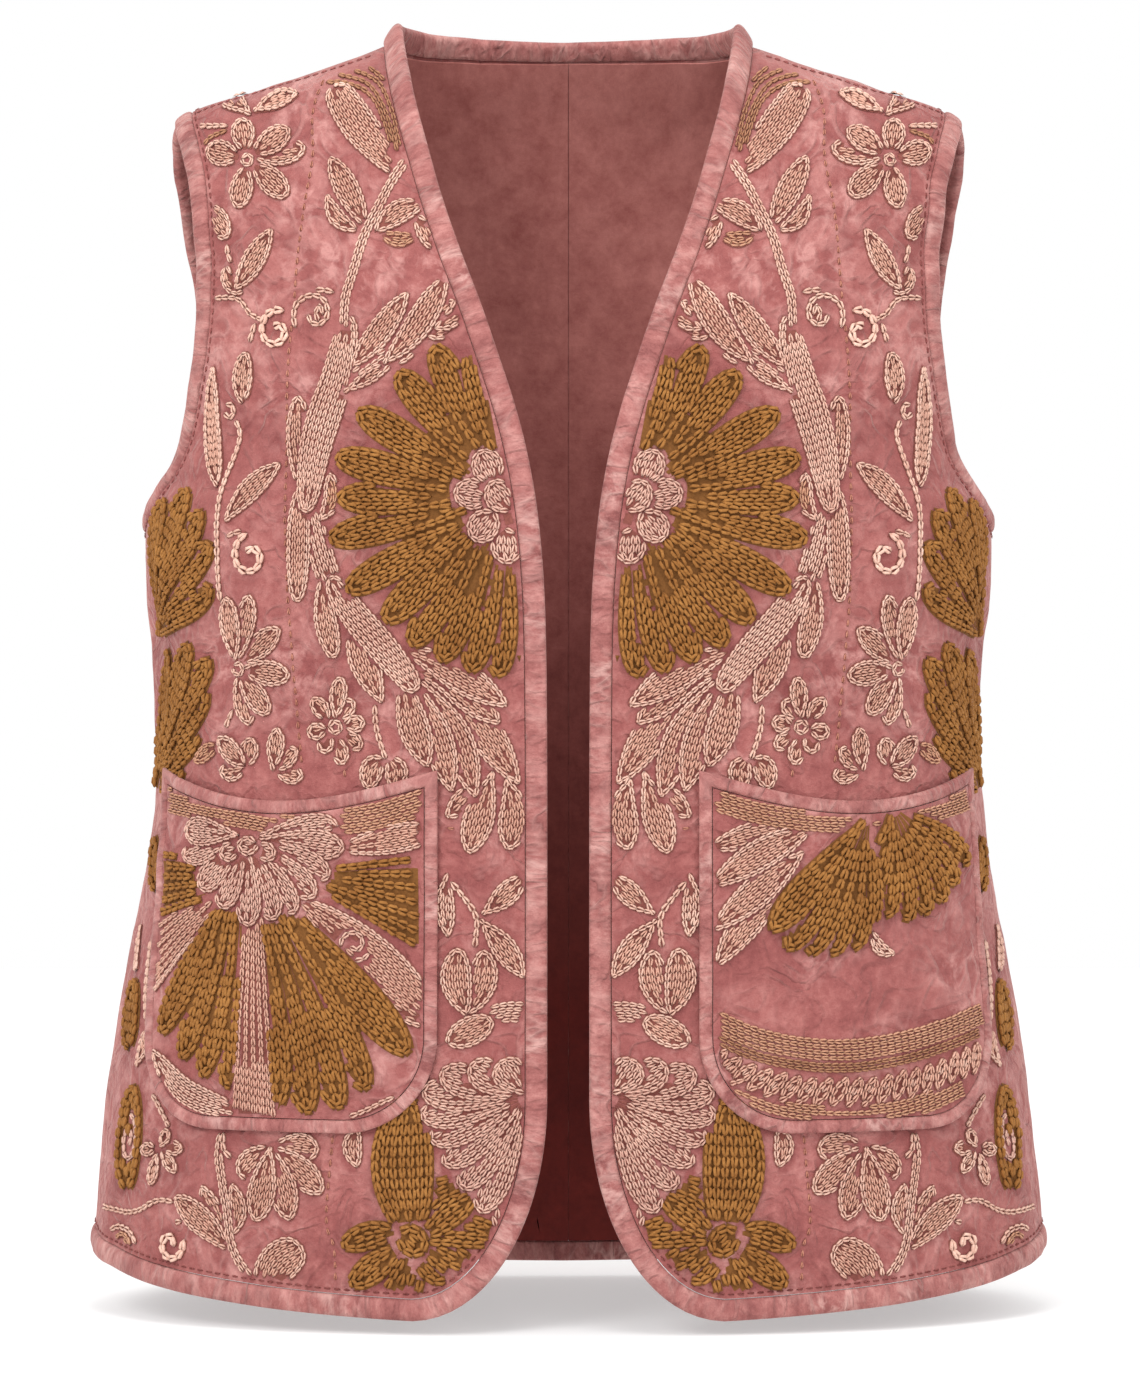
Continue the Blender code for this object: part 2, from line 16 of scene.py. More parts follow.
import bmesh
import bpy
import mathutils
import numpy as np
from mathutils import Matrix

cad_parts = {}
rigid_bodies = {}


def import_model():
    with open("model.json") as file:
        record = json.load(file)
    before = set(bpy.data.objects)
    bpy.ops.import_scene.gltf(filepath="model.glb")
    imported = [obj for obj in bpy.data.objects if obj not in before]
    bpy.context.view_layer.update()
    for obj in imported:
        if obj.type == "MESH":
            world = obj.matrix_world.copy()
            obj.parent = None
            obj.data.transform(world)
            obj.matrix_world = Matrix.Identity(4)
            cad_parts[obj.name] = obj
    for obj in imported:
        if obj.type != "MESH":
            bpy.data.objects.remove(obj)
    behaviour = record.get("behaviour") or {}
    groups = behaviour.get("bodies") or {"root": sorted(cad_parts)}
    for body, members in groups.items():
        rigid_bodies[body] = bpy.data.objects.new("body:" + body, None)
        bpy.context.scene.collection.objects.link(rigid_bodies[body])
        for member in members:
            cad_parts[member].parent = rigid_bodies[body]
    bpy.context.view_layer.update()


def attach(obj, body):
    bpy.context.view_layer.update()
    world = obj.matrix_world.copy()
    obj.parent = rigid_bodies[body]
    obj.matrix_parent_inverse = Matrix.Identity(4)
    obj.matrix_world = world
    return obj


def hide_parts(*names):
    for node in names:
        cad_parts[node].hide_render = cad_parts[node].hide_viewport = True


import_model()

# %% [markdown]
# ## The body that the cloth follows
#
# Every piece lies on one closed form. A place on it is a pair: `phi`, the angle round the body from
# the centre front (0) past the side (a quarter turn) to the centre back (half a turn), and the
# height z. The sections are those of the solids, so the shells land on them.

# %% Sections and folds
Section = namedtuple("Section", "z half_width front back")
SECTIONS = (
    Section(0.0080, 0.0440, 0.018, 0.034),
    Section(-0.0085, 0.0885, 0.026, 0.055),
    Section(-0.0200, 0.1200, 0.036, 0.068),
    Section(-0.0300, 0.1505, 0.048, 0.079),
    Section(-0.0400, 0.1800, 0.060, 0.088),
    Section(-0.0520, 0.1915, 0.070, 0.096),
    Section(-0.0680, 0.1960, 0.081, 0.104),
    Section(-0.0900, 0.1965, 0.093, 0.111),
    Section(-0.1200, 0.1935, 0.105, 0.117),
    Section(-0.1500, 0.1910, 0.113, 0.120),
    Section(-0.2000, 0.1905, 0.121, 0.120),
    Section(-0.2420, 0.2030, 0.123, 0.117),
    Section(-0.3100, 0.1982, 0.119, 0.111),
    Section(-0.3550, 0.1972, 0.117, 0.110),
    Section(-0.4000, 0.2010, 0.118, 0.112),
    Section(-0.4450, 0.2076, 0.120, 0.116),
    Section(-0.4900, 0.2150, 0.122, 0.120),
    Section(-0.5380, 0.2214, 0.124, 0.123),
    Section(-0.5810, 0.2258, 0.125, 0.126),
    Section(-0.6300, 0.2290, 0.126, 0.128),
)
SQUARENESS = 0.035
Fold = namedtuple("Fold", "phi_deg z_top z_low spread_deg height")
FOLDS = (
    Fold(80, -0.36, -0.66, 9, 0.0028),
    Fold(97, -0.30, -0.66, 8, -0.0024),
    Fold(116, -0.36, -0.66, 10, 0.0036),
    Fold(140, -0.40, -0.66, 11, -0.0028),
    Fold(161, -0.38, -0.66, 11, 0.0032),
    Fold(76, -0.24, -0.37, 8, -0.0018),
    Fold(128, -0.06, -0.24, 10, -0.0026),
)
SEAM_GAP = 0.0003
SEWN_GAP = 0.00004
FRONT_WALL = 0.0030
BACK_WALL = 0.0020
LINING_WALL = 0.0008
BINDING_WIDTH = 0.0100
BINDING_INSET = BINDING_WIDTH + SEAM_GAP
POCKET_LIFT = 0.0008
POCKET_WALL = 0.0025
POCKET_BINDING_WIDTH = 0.0060
NECK_Z = -0.0085
UNDERARM_Z = -0.2420
SHOULDER_TIP_Z = -0.0400
ARMHOLE_FRONT = 0.0600
ARMHOLE_BACK = 0.0540
ARMHOLE_FULLNESS = 0.92
HEM_SIDE_Z = -0.5815
HEM_DIP_FRONT = 0.0300
HEM_DIP_BACK = 0.0270
HEM_SOFTNESS = 0.16
EdgePoint = namedtuple("EdgePoint", "z x")
FRONT_EDGE = (
    EdgePoint(-0.0085, 0.0782),
    EdgePoint(-0.0230, 0.0762),
    EdgePoint(-0.0450, 0.0714),
    EdgePoint(-0.0700, 0.0643),
    EdgePoint(-0.0950, 0.0568),
    EdgePoint(-0.1190, 0.0485),
    EdgePoint(-0.1425, 0.0396),
    EdgePoint(-0.1660, 0.0316),
    EdgePoint(-0.1890, 0.0241),
    EdgePoint(-0.2120, 0.0182),
    EdgePoint(-0.2350, 0.0142),
    EdgePoint(-0.2580, 0.0118),
    EdgePoint(-0.2810, 0.0105),
    EdgePoint(-0.3100, 0.0099),
    EdgePoint(-0.3700, 0.0096),
    EdgePoint(-0.5100, 0.0096),
)
CORNER_X = 0.0727
CORNER_Z = -0.5040
POCKET_INNER = 0.0660
POCKET_OUTER = 0.2080
POCKET_TOP_Z = -0.3620
POCKET_LOW_Z = -0.5140
POCKET_MOUTH_DIP = 0.0125
POCKET_CORNER = 0.0380
CHEST_DROP = 0.0300
CHEST_TURN = 0.1200
FINE = 400
STEP = 1e-4
FOLD_GROWTH = 0.45
QUARTER = math.pi / 2


def smooth_table(rows, key, value):
    """A smooth function through the rows of a table that never overshoots them."""
    ordered = sorted(rows, key=lambda row: getattr(row, key))
    at = np.array([getattr(row, key) for row in ordered])
    level = np.array([getattr(row, value) for row in ordered])
    slope = np.diff(level) / np.diff(at)
    tangent = np.concatenate([slope[:1], np.zeros(len(slope) - 1), slope[-1:]])
    same_way = slope[:-1] * slope[1:] > 0
    mean = 2 * slope[:-1] * slope[1:] / np.where(same_way, slope[:-1] + slope[1:], 1)
    tangent[1:-1] = np.where(same_way, mean, 0)

    def read(where):
        where = np.clip(np.asarray(where, float), at[0], at[-1])
        i = np.clip(np.searchsorted(at, where) - 1, 0, len(at) - 2)
        span = at[i + 1] - at[i]
        t = (where - at[i]) / span
        blend = t * t * (3 - 2 * t)
        start = t * (1 - t) ** 2 * span * tangent[i]
        end = t * t * (1 - t) * span * tangent[i + 1]
        return level[i] + (level[i + 1] - level[i]) * blend + start - end

    return read


half_width = smooth_table(SECTIONS, "z", "half_width")
front_depth = smooth_table(SECTIONS, "z", "front")
back_depth = smooth_table(SECTIONS, "z", "back")
front_edge_x = smooth_table(FRONT_EDGE, "z", "x")


def unit(vectors):
    return vectors / np.linalg.norm(vectors, axis=-1, keepdims=True)


def ease(value, start, end):
    """0 at start, 1 at end, smooth between them and level beyond."""
    t = np.clip((value - start) / (end - start), 0, 1)
    return t * t * (3 - 2 * t)


def fold_height(phi, z):
    """How far the drape folds push the cloth out from the plain body."""
    total = np.zeros_like(phi)
    for fold in FOLDS:
        across = (phi - math.radians(fold.phi_deg)) / math.radians(fold.spread_deg)
        length = fold.z_top - fold.z_low
        down = ease(z, fold.z_top, fold.z_top - FOLD_GROWTH * length)
        if fold.z_low > HEM_SIDE_Z:
            down = down * ease(z, fold.z_low, fold.z_low + FOLD_GROWTH * length)
        total += fold.height * np.exp(-across * across) * down
    return total


def body(places):
    """The points of the cloth's outer face on the +X side, for an array of (phi, z)."""
    phi, z = places[..., 0], places[..., 1]
    depth = np.where(phi < QUARTER, front_depth(z), back_depth(z))
    fuller = 1 + SQUARENESS * np.sin(2 * phi) ** 2
    x = half_width(z) * np.sin(phi) * fuller
    y = -depth * np.cos(phi) * fuller
    push = fold_height(phi, z) / np.hypot(x, y)
    return np.stack([x * (1 + push), y * (1 + push), z], axis=-1)


def facing(places):
    """The directions in which the cloth's outer face looks."""
    turn, rise = np.array([STEP, 0]), np.array([0, STEP])
    round_it = body(places + turn) - body(places - turn)
    up = body(places + rise) - body(places - rise)
    across = np.cross(round_it, up)
    on_seam = np.abs(body(places)[..., 1]) < SEAM_GAP
    on_centre = places[..., 0] > math.pi - STEP
    across[..., 1] = np.where(on_seam, 0, across[..., 1])
    across[..., 0] = np.where(on_centre, 0, across[..., 0])
    return unit(across)


print("half width at the chest", half_width(UNDERARM_Z))
print("depths at the chest", front_depth(UNDERARM_Z), back_depth(UNDERARM_Z))

# %% [markdown]
# ## Small creases
#
# The velvet isn't smooth between the large folds: it is drawn in round the stitching, it buckles
# softly under the arms, and it hangs in slight ridges above the hem. The creases are listed one by
# one, a few to each side and none like another. The puckers are a fine noise in the body's own space,
# so that they run on across the seams.

# %% Creases and puckers
Crease = namedtuple("Crease", "side phi_deg z_top z_low lean_deg spread_deg height")
CREASES = (
    Crease(-1, 84, -0.262, -0.352, -5, 2.4, 0.0016),
    Crease(-1, 76, -0.250, -0.330, -9, 2.2, -0.0015),
    Crease(-1, 66, -0.232, -0.302, -13, 2.6, 0.0012),
    Crease(-1, 86, -0.395, -0.565, 3, 2.6, 0.0018),
    Crease(-1, 79, -0.430, -0.580, 2, 2.2, -0.0016),
    Crease(-1, 71, -0.528, -0.590, 4, 3.0, 0.0014),
    Crease(-1, 48, -0.530, -0.592, 3, 3.4, 0.0013),
    Crease(-1, 33, -0.060, -0.128, 14, 3.6, 0.0013),
    Crease(-1, 22, -0.320, -0.356, 10, 2.8, 0.0010),
    Crease(-1, 62, -0.070, -0.130, -16, 3.4, -0.0014),
    Crease(1, 82, -0.258, -0.338, -7, 2.5, 0.0015),
    Crease(1, 73, -0.244, -0.316, -11, 2.3, -0.0013),
    Crease(1, 87, -0.380, -0.560, 2, 2.8, 0.0017),
    Crease(1, 77, -0.450, -0.585, 4, 2.4, -0.0015),
    Crease(1, 68, -0.532, -0.590, 5, 3.0, 0.0015),
    Crease(1, 40, -0.528, -0.596, -3, 3.2, 0.0012),
    Crease(1, 36, -0.056, -0.120, 12, 3.6, 0.0014),
    Crease(1, 24, -0.325, -0.362, 8, 2.6, 0.0010),
    Crease(1, 58, -0.076, -0.132, -14, 3.2, -0.0012),
    Crease(-1, 101, -0.250, -0.345, 7, 2.4, 0.0017),
    Crease(-1, 112, -0.235, -0.330, 12, 2.8, -0.0015),
    Crease(-1, 150, -0.300, -0.330, 22, 5.0, 0.0014),
    Crease(-1, 168, -0.325, -0.350, 16, 5.4, -0.0012),
    Crease(-1, 127, -0.480, -0.590, 3, 3.2, 0.0020),
    Crease(-1, 149, -0.500, -0.596, -2, 3.6, 0.0018),
    Crease(1, 99, -0.252, -0.360, 6, 2.6, 0.0016),
    Crease(1, 115, -0.240, -0.322, 13, 2.8, -0.0014),
    Crease(1, 146, -0.306, -0.338, 20, 5.2, 0.0013),
    Crease(1, 131, -0.470, -0.590, 2, 3.4, 0.0019),
    Crease(1, 156, -0.495, -0.596, -3, 3.6, 0.0017),
)
CREASE_END = 0.35
Pucker = namedtuple("Pucker", "length height")
PUCKERS = (Pucker(0.048, 0.0011), Pucker(0.017, 0.00055), Pucker(0.007, 0.00018))


def crease_height(places, side):
    """How far the small creases of one side push the cloth out."""
    phi, z = places[..., 0], places[..., 1]
    total = np.zeros_like(phi)
    for crease in CREASES:
        if crease.side != side:
            continue
        length = crease.z_top - crease.z_low
        along = (crease.z_top - z) / length
        middle = math.radians(crease.phi_deg) + math.radians(crease.lean_deg) * (along - 0.5)
        across = (phi - middle) / math.radians(crease.spread_deg)
        fade = ease(along, -CREASE_END, CREASE_END) * ease(along, 1 + CREASE_END, 1 - CREASE_END)
        total += crease.height * np.exp(-across * across) * fade
    return total


def pucker_height(points):
    """A fine unevenness of the cloth, from a noise in the body's own space."""
    flat = points.reshape(-1, 3)
    total = np.zeros(len(flat))
    for pucker in PUCKERS:
        scaled = flat / pucker.length
        total += pucker.height * np.array([mathutils.noise.noise(point) for point in scaled])
    return total.reshape(points.shape[:-1])


def cloth(places, side):
    """Points of the cloth's outer face and its facing directions, on the +X (1) or -X (-1) side."""
    flip = np.array([side, 1, 1])
    smooth, outward = body(places) * flip, facing(places) * flip
    rise = pucker_height(smooth) + crease_height(places, side)
    return smooth + outward * rise[..., None], outward


# %% [markdown]
# ## Laying the cloth flat
#
# The cutter's view: `reach` is how far a place lies round the cloth from the centre front (or the
# centre back), and z stays. One table of the whole form turns flat places back into angles.

# %% Flat places and the way back
def pairs(first, second):
    return np.stack(np.broadcast_arrays(first, second), axis=-1).astype(float)


TABLE_Z = np.linspace(-0.66, 0.008, 335)
TABLE_PHI = np.linspace(0, math.pi, FINE)
TABLE_REACH = np.linspace(0, 0.56, 561)
LAST_CELL = 1.001


def reach_table():
    """For each height of the table: the reach of each angle, and the angle at each reach."""
    rings = body(pairs(TABLE_PHI[None], TABLE_Z[:, None]))
    steps = np.linalg.norm(np.diff(rings, axis=1), axis=-1)
    reach = np.concatenate([np.zeros((len(steps), 1)), np.cumsum(steps, axis=1)], axis=1)
    angle = np.array([np.interp(TABLE_REACH, row, TABLE_PHI) for row in reach])
    return reach, angle


REACH_OF, ANGLE_OF = reach_table()


def blended(table, row, column):
    """Reads a table at a place between its rows and columns; a cell may hold several values."""
    row = np.clip(row, 0, table.shape[0] - LAST_CELL)
    column = np.clip(column, 0, table.shape[1] - LAST_CELL)
    i, j = row.astype(int), column.astype(int)
    values = (None,) * (table.ndim - 2)
    a, b = (row - i)[(..., *values)], (column - j)[(..., *values)]
    low = table[i, j] * (1 - b) + table[i, j + 1] * b
    high = table[i + 1, j] * (1 - b) + table[i + 1, j + 1] * b
    return low * (1 - a) + high * a


def look_up(table, grid, first, z):
    row = (z - TABLE_Z[0]) / (TABLE_Z[1] - TABLE_Z[0])
    return blended(table, row, (first - grid[0]) / (grid[1] - grid[0]))


def half_girth(z):
    return np.interp(z, TABLE_Z, REACH_OF[:, -1])


def unrolled(places, from_back=False):
    """Places laid flat: the reach from the centre front or back, and z."""
    reach = look_up(REACH_OF, TABLE_PHI, places[..., 0], places[..., 1])
    return pairs(half_girth(places[..., 1]) - reach if from_back else reach, places[..., 1])


def rolled(flat, from_back=False):
    """The reverse of unrolled."""
    reach = half_girth(flat[..., 1]) - flat[..., 0] if from_back else flat[..., 0]
    return pairs(look_up(ANGLE_OF, TABLE_REACH, reach, flat[..., 1]), flat[..., 1])


# %% [markdown]
# ## The cut pieces as nets of places
#
# Each panel is a net between its real edges: hem, side seam, armhole, shoulder seam, neck and front
# edge. The nets are four times as fine as the solids' own.

# %% Edges and nets
COLUMNS = 56
LOW_ROWS = 66
HIGH_ROWS = 54
NECK_COLUMNS = 26
POCKET_COLUMNS = 44
POCKET_ROWS = 44
HALVINGS = 50
CENTRE_ROOM = 0.02


def lengths_along(points):
    steps = np.linalg.norm(np.diff(points, axis=0), axis=1)
    return np.concatenate([[0], np.cumsum(steps)])


def read_along(line, run, wanted):
    """The places of a line at the wanted values of run, which grows along the line."""
    return np.stack([np.interp(wanted, run, line[:, k]) for k in (0, 1)], axis=-1)


def divided(line, run, steps):
    """The places that divide a line into equal steps of run."""
    return read_along(line, run, np.linspace(0, run[-1], steps + 1))


def even(places, steps):
    """The same line of places, divided into equal steps along the cloth."""
    return divided(places, lengths_along(body(places)), steps)


def phi_where(axis, target, z, low, high):
    """The angle between low and high at which the body's x (axis 0) or y (axis 1) is the target."""
    target, z = np.broadcast_arrays(np.asarray(target, float), np.asarray(z, float))
    low, high = np.full(z.shape, low), np.full(z.shape, high)
    for _ in range(HALVINGS):
        middle = (low + high) / 2
        short = body(np.stack([middle, z], axis=-1))[..., axis] < target
        low, high = np.where(short, middle, low), np.where(short, high, middle)
    return (low + high) / 2


def flat_patch(low, high, start, end):
    """A flat net between four edges: low and high run across, start and end run up."""
    u = np.linspace(0, 1, len(low))[:, None, None]
    v = np.linspace(0, 1, len(start))[None, :, None]
    across = (1 - v) * low[:, None] + v * high[:, None]
    up = (1 - u) * start[None] + u * end[None]
    corners = (1 - v) * ((1 - u) * low[0] + u * low[-1]) + v * ((1 - u) * high[0] + u * high[-1])
    return across + up - corners


def patch(low, high, start, end, from_back=False):
    """A net of places between four edges, filled in as the cloth lies flat."""
    edges = [unrolled(edge, from_back) for edge in (low, high, start, end)]
    net = rolled(flat_patch(*edges), from_back)
    net[:, 0], net[:, -1], net[0], net[-1] = low, high, start, end
    return net


def hem_z(phi):
    """The hem's seam: level at the centres, and higher at the sides in a soft curve."""
    curve = np.sqrt(np.cos(phi) ** 2 + HEM_SOFTNESS**2) - HEM_SOFTNESS
    dip = np.where(phi < QUARTER, HEM_DIP_FRONT, HEM_DIP_BACK)
    return HEM_SIDE_Z - dip * curve + BINDING_INSET


def side_phi(z, way):
    """The side and shoulder seam, half a gap before (-1) or behind (+1) the quarter turn."""
    depth = front_depth(z) if way < 0 else back_depth(z)
    return QUARTER + way * np.arcsin(SEWN_GAP / 2 / depth)


def armhole(way):
    """The armhole's seam from the underarm to the shoulder tip, in front (-1) or behind (+1)."""
    t = np.linspace(0, math.pi, FINE)
    middle, half = (UNDERARM_Z + SHOULDER_TIP_Z) / 2, (SHOULDER_TIP_Z - UNDERARM_Z) / 2
    z = middle - half * np.cos(t)
    reach = ARMHOLE_FRONT if way < 0 else ARMHOLE_BACK
    y = way * np.maximum(reach * np.sin(t) ** ARMHOLE_FULLNESS, SEWN_GAP / 2)
    low, high = (CENTRE_ROOM, QUARTER) if way < 0 else (QUARTER, math.pi - CENTRE_ROOM)
    return pairs(phi_where(1, y, z, low, high), z)


def front_edge(z):
    """The places of the front edge's seam at these heights."""
    x = front_edge_x(z) + BINDING_INSET
    return pairs(phi_where(0, np.minimum(x, half_width(z)), z, 0.0, side_phi(z, -1)), z)


def front_corner(turns):
    """The rounded lower corner's seam: turn 0 is on the front edge and a quarter turn on the hem."""
    hem_start = float(hem_z(phi_where(0, CORNER_X, HEM_SIDE_Z, 0.0, QUARTER)))
    across = CORNER_X - (float(front_edge_x(CORNER_Z)) + BINDING_INSET)
    x = CORNER_X - across * np.cos(turns)
    z = CORNER_Z - (CORNER_Z - hem_start) * np.sin(turns)
    return pairs(phi_where(0, x, z, 0.0, QUARTER), z)


def chest_line(centre_phi, way):
    """A line across a panel, from the underarm down to chest height and on to the centre."""
    side = side_phi(UNDERARM_Z, way)
    phi = np.linspace(side, centre_phi, FINE)
    drop = CHEST_DROP * (1 - np.exp(-np.abs(phi - side) / CHEST_TURN))
    return pairs(phi, UNDERARM_Z - drop)


def refine(net, rows):
    """Each column of a net divided into equal steps along the cloth."""
    steps = np.linspace(0, net.shape[1] - 1, FINE)
    index = np.arange(net.shape[1])
    columns = []
    for column in net:
        columns.append(even(read_along(column, index, steps), rows))
    return np.stack(columns)


def even_rows(low, high):
    """The lower and upper nets with their rows evened out, joined at the chest line."""
    inner_low, inner_high = refine(low, LOW_ROWS), refine(high, HIGH_ROWS)
    inner_low[0], inner_low[-1] = low[0], low[-1]
    inner_high[0], inner_high[-1] = high[0], high[-1]
    return np.concatenate([inner_low, inner_high[:, 1:]], axis=1)


def front_net():
    """The front panel's places, from the front edge to the side, and from the hem to the shoulder."""
    eighth = math.pi / 4
    corner_up = front_corner(np.linspace(eighth, 0, FINE))
    corner_along = front_corner(np.linspace(eighth, QUARTER, FINE))
    hem_phi = np.linspace(corner_along[-1, 0], QUARTER, FINE)[1:]
    hem_phi[-1] = side_phi(HEM_SIDE_Z, -1)
    chest_z = UNDERARM_Z - CHEST_DROP
    chest = chest_line(front_edge(np.array([chest_z]))[0, 0], -1)[::-1]
    chest[0, 1] = chest_z
    chest = even(chest, COLUMNS)
    edge_low = front_edge(np.linspace(CORNER_Z, chest_z, FINE)[1:])
    edge_high = front_edge(NECK_Z + (chest_z - NECK_Z) * np.linspace(1, 0, FINE) ** 2)
    side_z = np.linspace(float(hem_z(QUARTER)), UNDERARM_Z, FINE)
    shoulder_z = np.linspace(NECK_Z, SHOULDER_TIP_Z, FINE)
    low = patch(
        even(np.concatenate([corner_along, pairs(hem_phi, hem_z(hem_phi))]), COLUMNS),
        chest,
        even(np.concatenate([corner_up, edge_low]), LOW_ROWS),
        even(pairs(side_phi(side_z, -1), side_z), LOW_ROWS),
    )
    high = patch(
        chest,
        even(pairs(side_phi(shoulder_z, -1), shoulder_z), COLUMNS),
        even(edge_high, HIGH_ROWS),
        even(armhole(-1), HIGH_ROWS),
    )
    return even_rows(low, high)


def back_net():
    """Half the back panel's places, from the side to the centre back, and from the hem up."""
    hem_phi = np.linspace(side_phi(HEM_SIDE_Z, 1), math.pi, FINE)
    chest = even(chest_line(math.pi, 1), COLUMNS)
    chest_z = chest[-1, 1]
    side_z = np.linspace(float(hem_z(QUARTER)), UNDERARM_Z, FINE)
    shoulder_z = np.linspace(SHOULDER_TIP_Z, NECK_Z, FINE)
    neck_phi = np.linspace(side_phi(NECK_Z, 1), math.pi, FINE)
    top = np.concatenate(
        [
            even(pairs(side_phi(shoulder_z, 1), shoulder_z), COLUMNS - NECK_COLUMNS),
            even(pairs(neck_phi, NECK_Z), NECK_COLUMNS)[1:],
        ]
    )
    low = patch(
        even(pairs(hem_phi, hem_z(hem_phi)), COLUMNS),
        chest,
        even(pairs(side_phi(side_z, 1), side_z), LOW_ROWS),
        even(pairs(math.pi, np.linspace(float(hem_z(math.pi)), chest_z, FINE)), LOW_ROWS),
        from_back=True,
    )
    high = patch(
        chest,
        top,
        even(armhole(1), HIGH_ROWS),
        even(pairs(math.pi, np.linspace(chest_z, NECK_Z, FINE)), HIGH_ROWS),
        from_back=True,
    )
    return even_rows(low, high)


def pocket_net():
    """The pocket's places on the front."""
    inner, outer, low, radius = POCKET_INNER, POCKET_OUTER, POCKET_LOW_Z, POCKET_CORNER
    turn = np.linspace(0, math.pi / 4, FINE)
    side, floor = radius * (1 - np.cos(turn)), radius * (1 - np.sin(turn))
    start_arc = pairs(inner + side, low + floor)[::-1]
    end_arc = pairs(outer - side, low + floor)[::-1]
    bottom = np.concatenate([pairs(inner + floor, low + side)[::-1], pairs(outer - floor, low + side)])
    across = np.linspace(0, 1, FINE)
    dip = POCKET_MOUTH_DIP * np.sin(math.pi * across)
    mouth = pairs(inner + (outer - inner) * across, POCKET_TOP_Z - dip)
    start = np.concatenate([start_arc, [[inner, POCKET_TOP_Z]]])
    end = np.concatenate([end_arc, [[outer, POCKET_TOP_Z]]])
    edges = [divided(line, lengths_along(line), POCKET_COLUMNS) for line in (bottom, mouth)]
    edges += [divided(line, lengths_along(line), POCKET_ROWS) for line in (start, end)]
    return rolled(flat_patch(*edges))


FRONT_NET, BACK_NET, POCKET_NET = front_net(), back_net(), pocket_net()
print("nets", FRONT_NET.shape, BACK_NET.shape, POCKET_NET.shape)

# %% [markdown]
# ## Meshes from nets
#
# A cloth panel could be a plane with Solidify, but its inner face here is sometimes another cloth than
# its outer face, so both faces and the rim are laid down from the same net in one go. The UV map is
# the flat cloth itself, in metres: nap, weave and stitches then follow the cut and not the world.

# %% Panels
HOME = bpy.data.collections.new("waistcoat_looks")
bpy.context.scene.collection.children.link(HOME)
SHARP_DEG = 60


def linked(name, mesh):
    """The mesh as an object among the waistcoat's looks."""
    made = bpy.data.objects.new(name, mesh)
    HOME.objects.link(made)
    return made


def mesh_object(name, points, faces, uv, materials, face_material=None):
    """A smooth object from point and face arrays, with a UV place for each point."""
    mesh = bpy.data.meshes.new(name)
    mesh.from_pydata(points.tolist(), [], faces.tolist())
    layer = mesh.uv_layers.new(name="flat")
    loops = np.empty(len(mesh.loops), dtype=np.int32)
    mesh.loops.foreach_get("vertex_index", loops)
    layer.uv.foreach_set("vector", uv[loops].astype(np.float32).ravel())
    for material in materials:
        mesh.materials.append(material)
    if face_material is not None:
        mesh.polygons.foreach_set("material_index", face_material.astype(np.int32))
    mesh.shade_smooth()
    mesh.update()
    return linked(name, mesh)


def grid_faces(columns, rows, first=0):
    """The quads of a grid of points that is stored column by column."""
    i, j = np.meshgrid(np.arange(columns - 1), np.arange(rows - 1), indexing="ij")
    corner = (first + i * rows + j).ravel()
    return np.stack([corner, corner + rows, corner + rows + 1, corner + 1], axis=1)


def rim_faces(columns, rows, first, second):
    """The quads that join the borders of two grids, the outer and the inner face of a cloth."""
    low = np.arange(columns) * rows
    high = low + rows - 1
    start = np.arange(rows)
    end = (columns - 1) * rows + start
    loop = np.concatenate([low[:-1], end[:-1], high[::-1][:-1], start[::-1][:-1]])
    after = np.roll(loop, -1)
    return np.stack([first + after, first + loop, second + loop, second + after], axis=1)


def panel(name, outer, inner, flat, outside, inside):
    """A closed cloth panel from its outer and inner points, with a material for each face."""
    columns, rows = outer.shape[:2]
    count = columns * rows
    points = np.concatenate([outer.reshape(-1, 3), inner.reshape(-1, 3)])
    uv = np.concatenate([flat.reshape(-1, 2)] * 2)
    front = grid_faces(columns, rows)
    back = grid_faces(columns, rows, count)[:, ::-1]
    rim = rim_faces(columns, rows, 0, count)
    faces = np.concatenate([front, back, rim])
    kind = np.concatenate([np.zeros(len(front)), np.ones(len(back)), np.zeros(len(rim))])
    made = mesh_object(name, points, faces, uv, (outside, inside), kind)
    made.data.set_sharp_from_angle(angle=math.radians(SHARP_DEG))
    return made


# %% [markdown]
# ## Velvet, lining and thread
#
# Crushed velvet is light where its pile leans away and dark where it leans towards the eye. The bloom
# at grazing angles is the shader's own sheen. The patches come from a noise that is pulled out of
# shape by another, on the flat cloth's map, and the same group makes the patches of the binding and
# the softer cloudiness of the lining.

# %% Colours and shader tools
CLOTH_SHINE = 0.25
Noise = namedtuple("Noise", "scale detail roughness distortion", defaults=(0.5, 0.0))


def linear(red, green, blue):
    """A colour as read on a screen, from 0 to 255, in the linear values that shaders use."""
    levels = np.array([red, green, blue]) / 255
    curve = np.where(levels <= 0.04045, levels / 12.92, ((levels + 0.055) / 1.055) ** 2.4)
    return (*[float(level) for level in curve], 1.0)


def noise(tree, place, kind):
    """A noise of one kind at a place of the shader's input."""
    made = tree.nodes.new("ShaderNodeTexNoise")
    for name, value in zip(("Scale", "Detail", "Roughness", "Distortion"), kind):
        made.inputs[name].default_value = value
    tree.links.new(place, made.inputs["Vector"])
    return made.outputs["Fac"]


def ramp(tree, value, *stops):
    """A colour ramp through (place, colour) stops."""
    made = tree.nodes.new("ShaderNodeValToRGB")
    elements = made.color_ramp.elements
    for (place, colour), element in zip(stops, elements):
        element.position, element.color = place, colour
    for place, colour in stops[2:]:
        elements.new(place).color = colour
    tree.links.new(value, made.inputs["Fac"])
    return made.outputs["Color"]


def feed(tree, socket, given):
    """Puts a socket or a plain value into an input."""
    if isinstance(given, bpy.types.NodeSocket):
        tree.links.new(given, socket)
    else:
        socket.default_value = given


